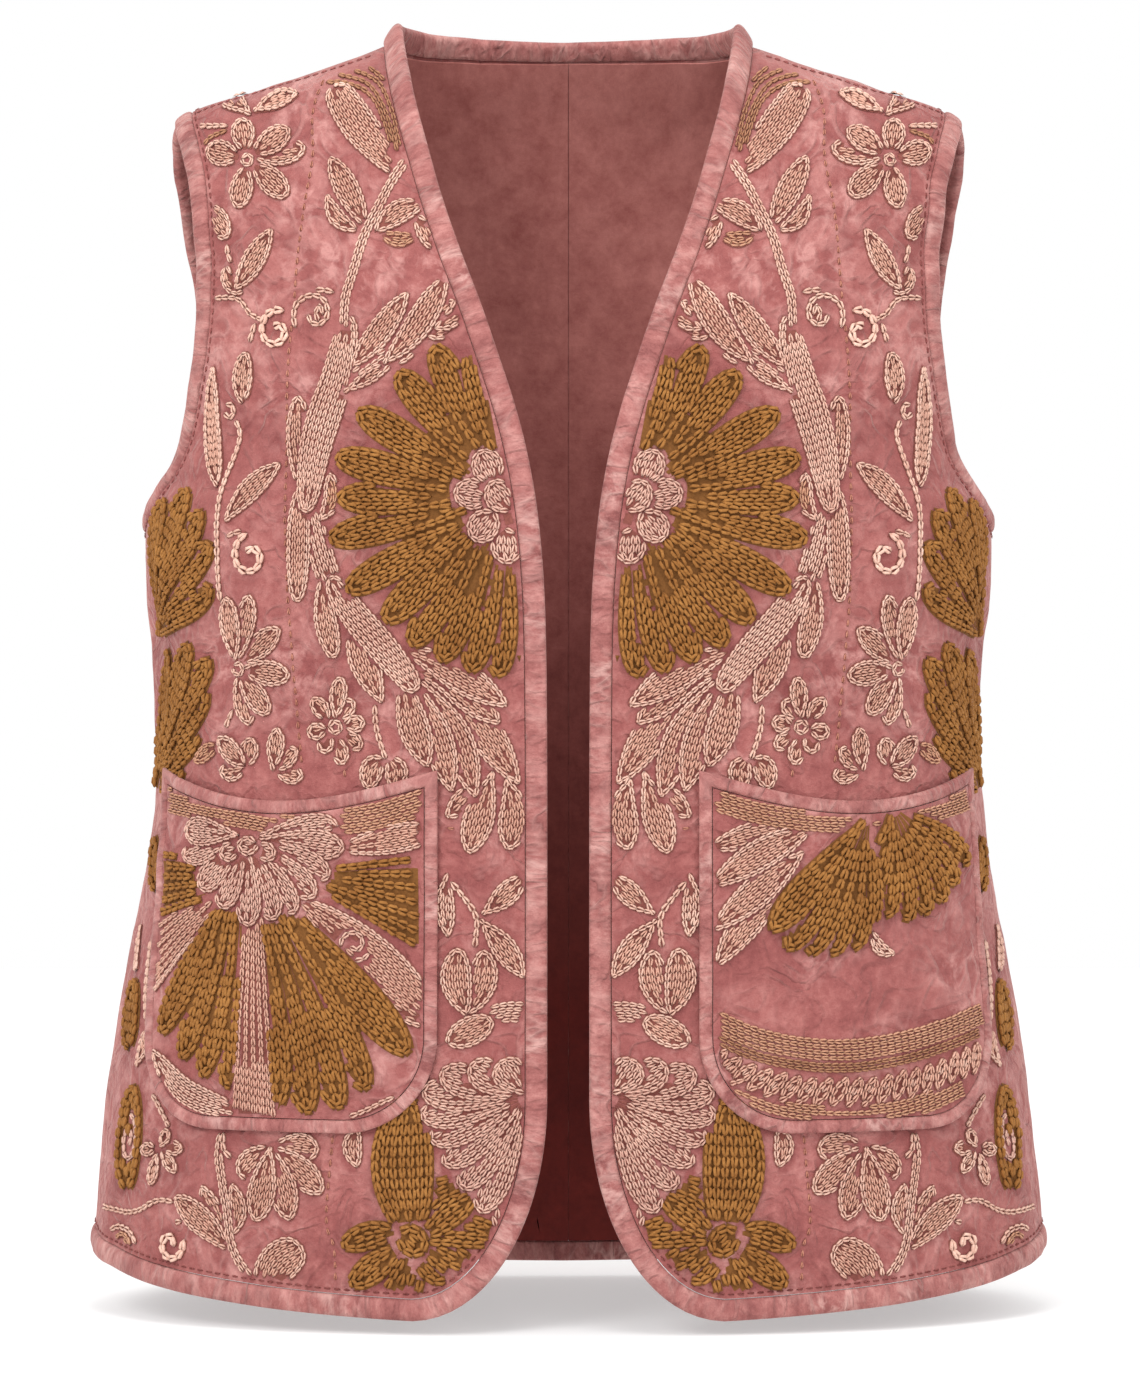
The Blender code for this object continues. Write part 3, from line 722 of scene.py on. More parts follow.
def mix(tree, value, first, second):
    """A mix of two colours, each a socket or a plain colour, by a socket or a number."""
    made = tree.nodes.new("ShaderNodeMix")
    made.data_type = "RGBA"
    feed(tree, made.inputs[0], value)
    feed(tree, made.inputs[6], first)
    feed(tree, made.inputs[7], second)
    return made.outputs[2]


def maths(tree, operation, first, second=0.0, third=0.0):
    made = tree.nodes.new("ShaderNodeMath")
    made.operation = operation
    for socket, given in zip(made.inputs, (first, second, third)):
        feed(tree, socket, given)
    return made.outputs[0]


def finish_shader(material, colour, roughness, height, bump, sheen, sheen_rough, sheen_tint):
    """Wires colour, roughness and height into the material's own shader."""
    tree = material.node_tree
    shader = tree.nodes["Principled BSDF"]
    tree.links.new(colour, shader.inputs["Base Color"])
    feed(tree, shader.inputs["Roughness"], roughness)
    bumped = tree.nodes.new("ShaderNodeBump")
    bumped.inputs["Strength"].default_value = 1.0
    bumped.inputs["Distance"].default_value = bump
    tree.links.new(height, bumped.inputs["Height"])
    tree.links.new(bumped.outputs["Normal"], shader.inputs["Normal"])
    shader.inputs["Sheen Weight"].default_value = sheen
    shader.inputs["Sheen Roughness"].default_value = sheen_rough
    shader.inputs["Sheen Tint"].default_value = sheen_tint
    shader.inputs["Specular IOR Level"].default_value = CLOTH_SHINE


def new_material(name):
    material = bpy.data.materials.new(name)
    material.use_nodes = True
    return material


def flat_map(tree):
    """The place on the flat cloth, in metres."""
    made = tree.nodes.new("ShaderNodeUVMap")
    made.uv_map = "flat"
    return made.outputs["UV"]


# %% [markdown]
# The nap group takes the place on the cloth and puts out a mask of the leaning pile (0 dark, 1 light),
# a frost of pale brushed-up pile with painted highlight on the pucker crests, and a height for the
# bump: soft crush marks with the tips of the pile over them.

# %% The crushed nap group
NAP_LARGE = Noise(24.0, 2.0, 0.5, 0.2)
NAP_MIDDLE = Noise(95.0, 2.5, 0.55, 0.25)
NAP_SMALL = Noise(340.0, 3.0, 0.65)
PILE = Noise(1500.0, 2.0, 0.7)
BRUSHED = Noise(85.0, 4.0, 0.7, 0.4)
PATCHY = Noise(21.0, 1.0)
PUCKERED = Noise(52.0, 2.0, 0.5, 0.9)
LEAN_LARGE, LEAN_MIDDLE, LEAN_SMALL, LEAN_PILE = 0.27, 0.33, 0.24, 0.16
CRUSH_MIDDLE, CRUSH_SMALL, CRUSH_PUCKER, CRUSH_PILE = 0.9, 0.30, 0.40, 0.12
FROST_AND_HIGHLIGHT_SHARE = 0.46


def nap_group():
    tree = bpy.data.node_groups.new("Crushed nap", "ShaderNodeTree")
    tree.interface.new_socket("Place", in_out="INPUT", socket_type="NodeSocketVector")
    tree.interface.new_socket("Patch", in_out="INPUT", socket_type="NodeSocketFloat")
    tree.interface.new_socket("Mask", in_out="OUTPUT", socket_type="NodeSocketFloat")
    tree.interface.new_socket("Frost and highlight", in_out="OUTPUT", socket_type="NodeSocketFloat")
    tree.interface.new_socket("Height", in_out="OUTPUT", socket_type="NodeSocketFloat")
    given = tree.nodes.new("NodeGroupInput")
    out = tree.nodes.new("NodeGroupOutput")
    place = given.outputs["Place"]
    large = noise(tree, place, NAP_LARGE)
    middle = noise(tree, place, NAP_MIDDLE)
    small = noise(tree, place, NAP_SMALL)
    pile = noise(tree, place, PILE)
    lean = maths(tree, "MULTIPLY", middle, LEAN_MIDDLE)
    lean = maths(tree, "MULTIPLY_ADD", large, LEAN_LARGE, lean)
    lean = maths(tree, "MULTIPLY_ADD", pile, LEAN_PILE, lean)
    lean = maths(tree, "MULTIPLY_ADD", small, LEAN_SMALL, lean)
    centred = maths(tree, "SUBTRACT", lean, 0.5)
    mask = maths(tree, "MULTIPLY_ADD", centred, given.outputs["Patch"], 0.5)
    tree.links.new(mask, out.inputs["Mask"])
    # Frost: pale streaks of brushed-up pile, the cloth's own tone, plus painted highlight on the crests
    # of the puckers.
    brushed = maths(tree, "MULTIPLY_ADD", noise(tree, place, BRUSHED), 4.5, -2.2)
    patchy = maths(tree, "MULTIPLY_ADD", noise(tree, place, PATCHY), 4.0, -1.45)
    waves = noise(tree, place, PUCKERED)
    away = maths(tree, "ABSOLUTE", maths(tree, "SUBTRACT", waves, 0.5))
    pucker = maths(tree, "MAXIMUM", maths(tree, "MULTIPLY_ADD", away, -11.0, 1.0), 0.0)
    marks = maths(tree, "MULTIPLY_ADD", pucker, 0.5, maths(tree, "MAXIMUM", brushed, 0.0))
    clamped = tree.nodes.new("ShaderNodeClamp")
    tree.links.new(maths(tree, "MULTIPLY", marks, patchy), clamped.inputs["Value"])
    tree.links.new(clamped.outputs["Result"], out.inputs["Frost and highlight"])
    crush = maths(tree, "MULTIPLY", small, CRUSH_SMALL)
    crush = maths(tree, "MULTIPLY_ADD", middle, CRUSH_MIDDLE, crush)
    crush = maths(tree, "MULTIPLY_ADD", pucker, CRUSH_PUCKER, crush)
    crush = maths(tree, "MULTIPLY_ADD", pile, CRUSH_PILE, crush)
    tree.links.new(crush, out.inputs["Height"])
    return tree


NAP = nap_group()


def nap(tree, place, patch):
    made = tree.nodes.new("ShaderNodeGroup")
    made.node_tree = NAP
    made.inputs["Patch"].default_value = patch
    tree.links.new(place, made.inputs["Place"])
    return made.outputs["Mask"], made.outputs["Frost and highlight"], made.outputs["Height"]


def velvet(name, dark, middle, light, frost_and_highlight_colour, patch, stretch=None):
    """A crushed velvet in three tones of one colour, with pale marks where the pile is brushed up and
    painted highlights on the pucker crests.
    """
    material = new_material(name)
    tree = material.node_tree
    place = flat_map(tree)
    if stretch:
        pulled = tree.nodes.new("ShaderNodeVectorMath")
        pulled.operation = "MULTIPLY"
        pulled.inputs[1].default_value = stretch
        tree.links.new(place, pulled.inputs[0])
        place = pulled.outputs[0]
    mask, frost_and_highlight, height = nap(tree, place, patch)
    colour = ramp(tree, mask, (0.10, dark), (0.90, light), (0.50, middle))
    colour = mix(tree, maths(tree, "MULTIPLY", frost_and_highlight, FROST_AND_HIGHLIGHT_SHARE), colour, frost_and_highlight_colour)
    rough = maths(tree, "MULTIPLY_ADD", mask, -0.12, 0.72)
    finish_shader(material, colour, rough, height, 0.0020, 0.35, 0.42, linear(255, 208, 200))
    return material


# Each velvet's fourth colour is its frost: brushed-up pile, and painted highlight on the pucker crests.
VELVET = velvet(
    "crushed_velvet", linear(118, 58, 57), linear(143, 79, 76), linear(168, 104, 99),
    linear(214, 160, 153), 2.7,
)
BINDING_VELVET = velvet(
    "crushed_binding", linear(112, 58, 57), linear(152, 92, 88), linear(184, 125, 119),
    linear(224, 182, 173), 3.1, (1.5, 0.6, 1.0),
)
LINING_SHADE_FADE = 2.1
WEAVE_STEP = 0.0006
WEAVE_SHARE = 0.08
CRINKLE = Noise(120.0, 3.0, 0.6, 0.6)


def lining_cloth():
    """A plain darker satin: fine threads, soft clouds of tone, and painted light and shade: paler
    towards the neck, where light falls in, and darker low down, where it lies in shade.
    """
    material = new_material("satin_lining")
    tree = material.node_tree
    place = flat_map(tree)
    mask, _, _ = nap(tree, place, 2.2)
    high = tree.nodes.new("ShaderNodeSeparateXYZ")
    tree.links.new(tree.nodes.new("ShaderNodeTexCoord").outputs["Object"], high.inputs[0])
    # Painted light and shade: by height, the colour runs from a lit paler tone at the top to a shaded
    # darker tone low down.
    depth = maths(tree, "MULTIPLY_ADD", high.outputs["Z"], LINING_SHADE_FADE, 1.0)
    lit_top_colour = ramp(tree, mask, (0.2, linear(160, 92, 86)), (0.8, linear(200, 133, 125)))
    shaded_low_colour = ramp(tree, mask, (0.2, linear(93, 22, 17)), (0.8, linear(123, 37, 29)))
    colour = mix(tree, depth, shaded_low_colour, lit_top_colour)
    parts = tree.nodes.new("ShaderNodeSeparateXYZ")
    tree.links.new(place, parts.inputs[0])
    warp = maths(tree, "SINE", maths(tree, "MULTIPLY", parts.outputs["X"], 2 * math.pi / WEAVE_STEP))
    weft = maths(tree, "SINE", maths(tree, "MULTIPLY", parts.outputs["Y"], 2 * math.pi / WEAVE_STEP))
    crinkle = noise(tree, place, CRINKLE)
    height = maths(tree, "MULTIPLY_ADD", maths(tree, "MULTIPLY", warp, weft), WEAVE_SHARE, crinkle)
    finish_shader(material, colour, 0.62, height, 0.0006, 0.15, 0.5, linear(235, 190, 184))
    return material


LINING = lining_cloth()
print("materials", [material.name for material in (VELVET, BINDING_VELVET, LINING)])

# %% [markdown]
# ## Fronts, back, lining and pockets
#
# The fronts and the pockets keep the solids' 3 mm and 2.5 mm of padded velvet and lining together.
# The back is a thinner velvet, with its lining as two pieces of their own, 0.3 mm apart at the centre
# seam as the solids are. The side and shoulder edges come closer together than the solids', as sewn
# seams do, so that no light falls through between them.

# %% The shells
SIDES = (("left", 1), ("right", -1))


def on_side(places, side):
    """The outer points, facing directions and flat places of a net on one side, facing outwards."""
    points, outward = cloth(places, side)
    flat = unrolled(places)
    return (points, outward, flat) if side > 0 else (points[::-1], outward[::-1], flat[::-1])


def make_front(word, side):
    points, outward, flat = on_side(FRONT_NET, side)
    name = "cloth_front_" + word
    made = panel(name, points, points - outward * FRONT_WALL, flat, VELVET, LINING)
    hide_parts("front_" + word)
    return made


def back_halves(from_outer, wall, centre_gap):
    """Outer and inner points of both halves of the back, and their flat places."""
    halves = []
    for side in (1, -1):
        points, outward = cloth(BACK_NET, side)
        outer = points - outward * from_outer
        inner = outer - outward * wall
        for layer in (outer, inner):
            layer[-1, :, 0] = side * centre_gap / 2
        halves.append((outer, inner, unrolled(BACK_NET, from_back=True) * (side, 1)))
    return halves


def make_back():
    left, right = back_halves(0, BACK_WALL, 0)
    layers = [np.concatenate([a, b[::-1][1:]]) for a, b in zip(left, right)]
    made = panel("cloth_back", *layers, VELVET, VELVET)
    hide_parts("back")
    return made


def make_lining():
    halves = back_halves(BACK_WALL + SEAM_GAP, LINING_WALL, SEAM_GAP)
    pieces = []
    for (word, side), layers in zip(SIDES, halves):
        if side < 0:
            layers = [layer[::-1] for layer in layers]
        made = panel("cloth_lining_back_" + word, *layers, LINING, LINING)
        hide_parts("lining_back_" + word)
        pieces.append(made)
    return pieces


def make_pocket(word, side):
    points, outward, flat = on_side(POCKET_NET, side)
    inner = points + outward * POCKET_LIFT
    outer = inner + outward * POCKET_WALL
    made = panel("cloth_pocket_" + word, outer, inner, flat + (1, 0), VELVET, LINING)
    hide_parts("pocket_" + word)
    return made


fronts = {word: make_front(word, side) for word, side in SIDES}
pockets = {word: make_pocket(word, side) for word, side in SIDES}
back = make_back()
linings = make_lining()

# %% [markdown]
# ## The rolled bindings
#
# A strip of lighter velvet is folded over each raw edge and rolls softly round it. Its section is a
# flattened loop, fuller on the outside than within. Near the neck the strip stands up from the cloth.

# %% Binding section and sweep
ROLL_POINTS = 22
ROLL_OUT = 0.0018
ROLL_IN = 0.0008
ROLL_SQUARE = 0.74
NECK_LIFT_SIDE = 1.10
NECK_LIFT_BACK = 0.30
NECK_GROWTH = 0.30
NECK_LIFT_END_Z = -0.0900
POCKET_ROLL_OUT = 0.0008
BACKWARDS = np.array([0.0, 1, 0])
FRONTWARDS = np.array([0.0, -1, 0])


def roll_section(width, wall, base, rise, sink):
    """A flattened loop: (across, up) in metres, its seam at 0 and its top `rise` above base."""
    turn = np.linspace(0, 2 * math.pi, ROLL_POINTS, endpoint=False) + math.pi
    wave = np.cos(turn)
    across = (np.sign(wave) * np.abs(wave) ** ROLL_SQUARE + 1) / 2
    swing = np.sin(turn)
    up = -np.sign(swing) * np.abs(swing) ** ROLL_SQUARE
    middle = base + (rise - wall - sink) / 2
    half = (rise + wall + sink) / 2
    return np.stack([across * width, middle + half * up], axis=1)


def outward_ways(points, directions, ends):
    """At each station, the way out of the panel along the cloth, lengthened where the edge turns."""
    steps = np.roll(points, -1, axis=0) - points
    middle = unit(directions + np.roll(directions, -1, axis=0))
    after = unit(np.cross(steps, middle))
    before = np.roll(after, 1, axis=0)
    ways = (before + after) / (1 + np.sum(before * after, axis=1, keepdims=True))
    if ends:
        ways[0] = unit(np.cross(ends[0], directions[0]))
        ways[-1] = unit(np.cross(ends[1], directions[-1]))
    return ways


def lifted(points, ways):
    """Near the neck the binding stands up from the cloth, highest and widest at the shoulders."""
    near = ease(points[:, 2], NECK_LIFT_END_Z, NECK_Z)
    sideways = np.minimum(np.abs(points[:, 0]) / half_width(NECK_Z), 1)
    lift = near * (NECK_LIFT_BACK + (NECK_LIFT_SIDE - NECK_LIFT_BACK) * sideways)
    size = np.linalg.norm(ways, axis=1) * (1 + NECK_GROWTH * near * sideways**2)
    return unit(ways + lift[:, None] * np.array([0, 0, 1])) * size[:, None]


def sweep(name, points, directions, section, ends=None, stands=False):
    """The section carried along an edge; a closed loop unless its end directions are given."""
    ways = outward_ways(points, directions, ends)
    if stands:
        ways = lifted(points, ways)
        along = unit(np.cross(directions, ways))
        directions = unit(np.cross(ways, along))
    rings = [points + ways * (SEAM_GAP + out) + directions * up for out, up in section]
    rings = np.stack(rings, axis=1)
    run = lengths_along(points)
    if ends is None:
        rings = np.concatenate([rings, rings[:1]])
        run = np.append(run, run[-1] + np.linalg.norm(points[-1] - points[0]))
    rings = np.concatenate([rings, rings[:, :1]], axis=1)
    stations, sides = rings.shape[:2]
    round_it = np.concatenate([[0], np.cumsum(np.linalg.norm(np.diff(rings[0], axis=0), axis=1))])
    uv = pairs(run[:, None], round_it[None]).reshape(-1, 2)
    made = mesh_object(name, rings.reshape(-1, 3), grid_faces(stations, sides), uv, (BINDING_VELVET,))
    shape = bmesh.new()
    shape.from_mesh(made.data)
    bmesh.ops.remove_doubles(shape, verts=shape.verts, dist=1e-6)
    bmesh.ops.holes_fill(shape, edges=[edge for edge in shape.edges if edge.is_boundary])
    bmesh.ops.recalc_face_normals(shape, faces=shape.faces)
    shape.to_mesh(made.data)
    shape.free()
    made.data.shade_smooth()
    return made


EDGE_SECTION = roll_section(BINDING_WIDTH, FRONT_WALL, 0, ROLL_OUT, ROLL_IN)
POCKET_SECTION = roll_section(
    POCKET_BINDING_WIDTH, 0, POCKET_LIFT, POCKET_WALL + POCKET_ROLL_OUT, 0
)


def edge_points(net, side):
    """Points and directions along a net's edge, kept together."""
    points, outward = cloth(net, side)
    return np.stack([points, outward], axis=-2)


def bind(name, node, standing, section, ends=None, stands=False):
    made = sweep(name, standing[:, 0], standing[:, 1], section, ends, stands)
    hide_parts(node)
    return made


def joined_centre(half_of):
    """Both halves of a back edge, from the +X side round to the -X side."""
    left, right = half_of(1), half_of(-1)
    left[-1, :, 0] = 0
    return np.concatenate([left, right[::-1][1:]])


def make_bindings():
    made = {}
    for word, side in SIDES:
        down, along = edge_points(FRONT_NET[0, ::-1], side), edge_points(FRONT_NET[1:, 0], side)
        edge = np.concatenate([down, along])
        rise = edge_points(FRONT_NET[-1, LOW_ROWS:], side)
        fall = edge_points(BACK_NET[0, LOW_ROWS:], side)[::-1]
        hole = np.concatenate([rise, fall[1:-1]])
        hole[0, 0, 1] = 0
        hole[len(rise) - 1, 0, 1] = 0
        pocket = [POCKET_NET[::-1, -1], POCKET_NET[0, ::-1], POCKET_NET[:, 0], POCKET_NET[-1]]
        around = edge_points(np.concatenate([line[:-1] for line in pocket]), side)
        if side < 0:
            edge, hole, around = edge[::-1], hole[::-1], around[::-1]
        ends = (FRONTWARDS, BACKWARDS)
        name = "roll_front_" + word
        made[name] = bind(name, "binding_front_" + word, edge, EDGE_SECTION, ends, True)
        name = "roll_armhole_" + word
        made[name] = bind(name, "binding_armhole_" + word, hole, EDGE_SECTION)
        name = "roll_pocket_" + word
        made[name] = bind(name, "binding_pocket_" + word, around, POCKET_SECTION)
    hem = joined_centre(lambda side: edge_points(BACK_NET[:, 0], side))
    ends = (BACKWARDS, FRONTWARDS)
    made["roll_hem_back"] = bind("roll_hem_back", "binding_hem_back", hem, EDGE_SECTION, ends, True)
    neck_places = BACK_NET[COLUMNS - NECK_COLUMNS :, -1]
    neck = joined_centre(lambda side: edge_points(neck_places, side))[::-1]
    made["roll_neck_back"] = bind("roll_neck_back", "binding_neck_back", neck, EDGE_SECTION, ends, True)
    return made


bindings = make_bindings()
print("bindings", {name: len(piece.data.polygons) for name, piece in bindings.items()})

# %% [markdown]
# ## Places on the cloth
#
# Embroidery is drawn on the flat cloth, so a petal keeps its real size wherever it lies. Its anchors
# were read off the photograph as pixels: the camera's own formula takes such a pixel to the flat cloth.
# A fine table of the cloth's points then lifts any flat place onto the folded, puckered body.

# %% From the flat cloth to the body
CAMERA_DISTANCE = 2.5
CAMERA_Z = -0.317
CAMERA_X = 0.0008
PIXEL = 0.48e-3
CENTRE_PX = 567.7
LEVEL_PY = 690
FIRST_DEPTH = -0.10
DEPTH_ROUNDS = 4
FIELD_STEP = 0.002
FIELD_Z = np.arange(-0.616, 0.004, FIELD_STEP)
FIELD_REACH = np.arange(0, 0.56, FIELD_STEP)


def photo_place(px, py):
    """The flat place on a front that the camera sees at a pixel of the photograph."""
    px, py = np.asarray(px, float), np.asarray(py, float)
    y = np.full(px.shape, FIRST_DEPTH)
    for _ in range(DEPTH_ROUNDS):
        nearness = 1 + y / CAMERA_DISTANCE
        z = CAMERA_Z + (LEVEL_PY - py) * PIXEL * nearness
        x = np.abs(px - CENTRE_PX) * PIXEL * nearness
        phi = phi_where(0, x, z, 0.0, QUARTER)
        y = body(pairs(phi, z))[..., 1]
    return unrolled(pairs(phi, z))


def cloth_field(side):
    """Points and directions of the cloth at each flat place of a fine table."""
    flat = pairs(FIELD_REACH[None], FIELD_Z[:, None])
    points, outward = cloth(rolled(flat), side)
    return np.concatenate([points, outward], axis=-1)


FIELDS = {side: cloth_field(side) for side in (1, -1)}


def on_cloth(flat, lift, side, from_back=False):
    """Points that stand `lift` above the cloth at these flat places."""
    reach, z = flat[..., 0], flat[..., 1]
    if from_back:
        reach = half_girth(z) - reach
    both = blended(FIELDS[side], (z - FIELD_Z[0]) / FIELD_STEP, reach / FIELD_STEP)
    return both[..., :3] + both[..., 3:] * np.asarray(lift)[..., None]


print("the field's rows and columns", FIELDS[1].shape)

# %% [markdown]
# ## Rows of chain stitch
#
# Every motif is filled with rows of chain stitch, as an aari worker fills it: one row along the
# outline, then rows side by side inside it. A row is a line on the flat cloth. Where two motifs meet,
# the one worked first keeps the cloth, and the other's rows stop at its edge.

# %% Lines and shapes of rows
ROW_PITCH = 0.0023
LINK_LENGTH = 0.0035
GAUGE = {
    "brown": 1.75, "clay": 1.06, "cord": 1.3, "blush": 1.14, "pink": 1.14, "tan": 1.1, "braid": 1.06,
    "rope": 1.62, "dash": 0.62, "seam": 0.5,
}
CELL = 0.0008
GOLDEN = 0.618
LINE_STEP = 0.001
CURVE_POINTS = 24
PHASE_SHARE = 0.9
LAST_SHARE = 0.4
ROW_ROUNDING = 0.2
LEAF_ROW_ROOM = 0.7
BLOCK_ROW_ROOM = 0.78
STEM_STRETCH = 1.1


def pitch_of(colour):
    """How far apart the rows of a colour lie: the brown yarn is much thicker than the pale ones."""
    return ROW_PITCH * GAUGE[colour]


def curve(points, step=LINE_STEP):
    """A smooth line through the points, in even steps."""
    points = np.asarray(points, float)
    if len(points) == 2:
        points = np.array([points[0], points.mean(axis=0), points[1]])
    padded = np.concatenate([[2 * points[0] - points[1]], points, [2 * points[-1] - points[-2]]])
    t = np.linspace(0, 1, CURVE_POINTS, endpoint=False)[:, None]
    parts = []
    for a, b, c, d in zip(padded, padded[1:], padded[2:], padded[3:]):
        bend = (2 * a - 5 * b + 4 * c - d) * t**2 + (3 * b - a - 3 * c + d) * t**3
        parts.append((2 * b + (c - a) * t + bend) / 2)
    return evenly(np.concatenate([*parts, points[-1:]]), step)


def evenly(line, step):
    """The same line in even steps of about this length."""
    run = lengths_along(line)
    return divided(line, run, max(int(round(run[-1] / step)), 1))


def stitched(line, phase, length):
    """The holes of a row of stitches: even steps of a link's length, begun part of a link in."""
    run = lengths_along(line)
    wanted = np.arange(phase * length * PHASE_SHARE, run[-1] + length * LAST_SHARE, length)
    return read_along(line, run, np.minimum(wanted, run[-1]))


def sideways(line):
    ahead = unit(np.gradient(line, axis=0))
    return np.stack([-ahead[:, 1], ahead[:, 0]], axis=-1)


def kept_runs(line, keep):
    """The stretches of a line where keep is true."""
    runs, start = [], None
    for i, good in enumerate([*keep, False]):
        if good and start is None:
            start = i
        elif not good and start is not None:
            if i - start > 2:
                runs.append(line[start:i])
            start = None
    return runs


def row_level(number):
    """Over how many rows' width a row lasts where a shape narrows: every other row ends first."""
    return 1 if number % 2 else 2 if number % 4 else 4


def leaf_shape(path, width, fullest, roundness, rim_pitch, pitch):
    """A leaf's rows: its outline, the rows inside it along its length, and its two edges."""
    line = curve(path)
    t = np.linspace(0, 1, len(line))
    swell = np.sin(math.pi * t ** (math.log(0.5) / math.log(fullest)))
    half = np.maximum(width / 2 * np.clip(swell, 0, 1) ** roundness, 0)
    side = sideways(line)
    rim = np.maximum(half - rim_pitch / 2, 0)
    left, right = line + side * rim[:, None], line - side * rim[:, None]
    gaps = max(int(round(2 * rim.max() / pitch + ROW_ROUNDING)), 1)
    inside = []
    for number in range(1, gaps):
        lead = number == gaps // 2
        room = rim if lead else 2 * rim / gaps * row_level(number - gaps // 2)
        inside += kept_runs(left + (right - left) * number / gaps, room > LEAF_ROW_ROOM * pitch)
    return np.concatenate([left, right[::-1]]), inside, (left, right)


def stem_shape(path, width, pitch):
    """Parallel rows along a path."""
    line = curve(path)
    side = sideways(line)
    count = max(1, int(round(width / pitch)))
    offsets = (np.arange(count) - (count - 1) / 2) * min(pitch, width / count * STEM_STRETCH)
    return [line + side * offset for offset in offsets]


# %% [markdown]
# A design is a table of motifs in the order in which they are worked, each a few rows in a colour of
# thread. Places are in columns named `px_py`: pixels of the photograph, x and y in turn. Widths are
# millimetres on the cloth.

# %% Motif makers
Leaf = namedtuple(
    "Leaf", "width_mm px_py fill outline fullest roundness", defaults=("blush", "clay", 0.55, 0.75)
)
Stem = namedtuple("Stem", "width_mm px_py colour", defaults=("clay",))
Petals = namedtuple(
    "Petals", "centre_px_py tips_px_py width_mm start_mm fill outline fullest roundness",
    defaults=("blush", "clay", 0.62, 0.6),
)
Gored = namedtuple(
    "Gored", "centre_px_py tips_px_py width_mm start_mm colour depth fullest roundness",
    defaults=(0.66, 0.7, 0.42),
)
Lobes = namedtuple("Lobes", "centre_px_py radius_mm px_py")
Block = namedtuple("Block", "px_py colour outline", defaults=(None,))
Curl = namedtuple(
    "Curl", "px_py radius_mm turns start_deg colour width_mm tall way", defaults=("clay", 2.3, 1.0, 1)
)
Eyelet = namedtuple("Eyelet", "px_py radius_mm colour")
Plait = namedtuple("Plait", "px_py")
Rows = namedtuple("Rows", "colour lines grounds raised_mm", defaults=((), 0.0))
Form = namedtuple("Form", "fullest roundness")
GROUND_STEP = 0.0024
OUTLINE_RAISED_MM = 0.45
CORD_MM = 3.5
GORE_START = 0.1
GORE_POINTS = 40
GORE_LEAST = 0.012
GORE_WIDTH = 0.7
GORE_FORM = Form(0.6, 0.45)
LOBE_FORM = Form(0.5, 0.45)
CURL_POINTS = 90
CURL_SKIP = 6
CURL_SHRINK = 0.82
EYELET_POINTS = 40
PLAIT_STEP = 0.0078
PLAIT_HALF = 0.0065
PLAIT_SLANT = 0.0040
PLAIT_WIDTH = 0.0072
PLAIT_FORM = Form(0.5, 0.6)


def placed(px_py):
    """Pixels, two by two, as places on the flat cloth."""
    given = np.array(px_py, float).reshape(-1, 2)
    return photo_place(given[:, 0], given[:, 1])


def leaf_rows(path, width, fullest, roundness, outline, fill):
    pitches = pitch_of(outline), pitch_of(fill)
    edge, inside, ground = leaf_shape(path, width, fullest, roundness, *pitches)
    return [Rows(outline, [edge], (), OUTLINE_RAISED_MM), Rows(fill, inside, (ground,))]


def leaf(width_mm, px_py, fill, outline, fullest, roundness):
    return [leaf_rows(placed(px_py), width_mm / 1000, fullest, roundness, outline, fill)]


def stem(width_mm, px_py, colour):
    if width_mm < CORD_MM and colour == "clay":
        colour = "cord"
    return [[Rows(colour, stem_shape(placed(px_py), width_mm / 1000, pitch_of(colour)))]]


def petals(centre, tips, width_mm, start_mm, fill, outline, fullest, roundness):
    """Petals from near a centre to their tips, given as pixels."""
    middle = placed(centre)[0]
    made = []
    for tip in placed(tips):
        way = unit(tip - middle)
        path = np.array([middle + way * start_mm / 1000, tip])
        made.append(leaf_rows(path, width_mm / 1000, fullest, roundness, outline, fill))
    return made


def wedge(middle, first, second, depth):
    """The two edges of the ground between two neighbouring petals, painted shade in the gap."""
    share = np.linspace(GORE_START, depth, GORE_POINTS)[:, None]
    edges = middle + (second - middle) * share, middle + (first - middle) * share
    return edges if np.cross(first - middle, second - middle) > 0 else edges[::-1]


def gored(centre, tips, width_mm, start_mm, colour, depth, fullest, roundness):
    """A scalloped fan: petals, shorter ones between them that close the gaps near the centre, and
    grounds of painted shade in the gaps.
    """
    middle, ends = placed(centre)[0], placed(tips)
    painted_shade_wedges = tuple(wedge(middle, first, second, depth) for first, second in zip(ends, ends[1:]))
    made = [[Rows(colour, [], painted_shade_wedges)]]
    made += petals(centre, tips, width_mm, start_mm, colour, colour, fullest, roundness)
    for first, second in zip(ends, ends[1:]):
        tip = middle + (first + second - 2 * middle) / 2 * depth
        if np.linalg.norm(tip - middle) > start_mm / 1000 + GORE_LEAST:
            path = np.array([middle + unit(tip - middle) * start_mm / 1000, tip])
            made.append(leaf_rows(path, width_mm / 1000 * GORE_WIDTH, *GORE_FORM, colour, colour))
    return made


def lobes(centre, radius_mm, px_py):
    """Round pink lobes about a centre, each placed by its own middle."""
    middle = placed(centre)[0]
    made = []
    for place in placed(px_py):
        way = place - middle
        way = unit(way) if np.linalg.norm(way) > LINE_STEP else np.array([1.0, 0])
        path = np.array([place - way * radius_mm / 1000, place + way * radius_mm / 1000])
        made.append(leaf_rows(path, radius_mm / 500, *LOBE_FORM, "pink", "pink"))
    return made


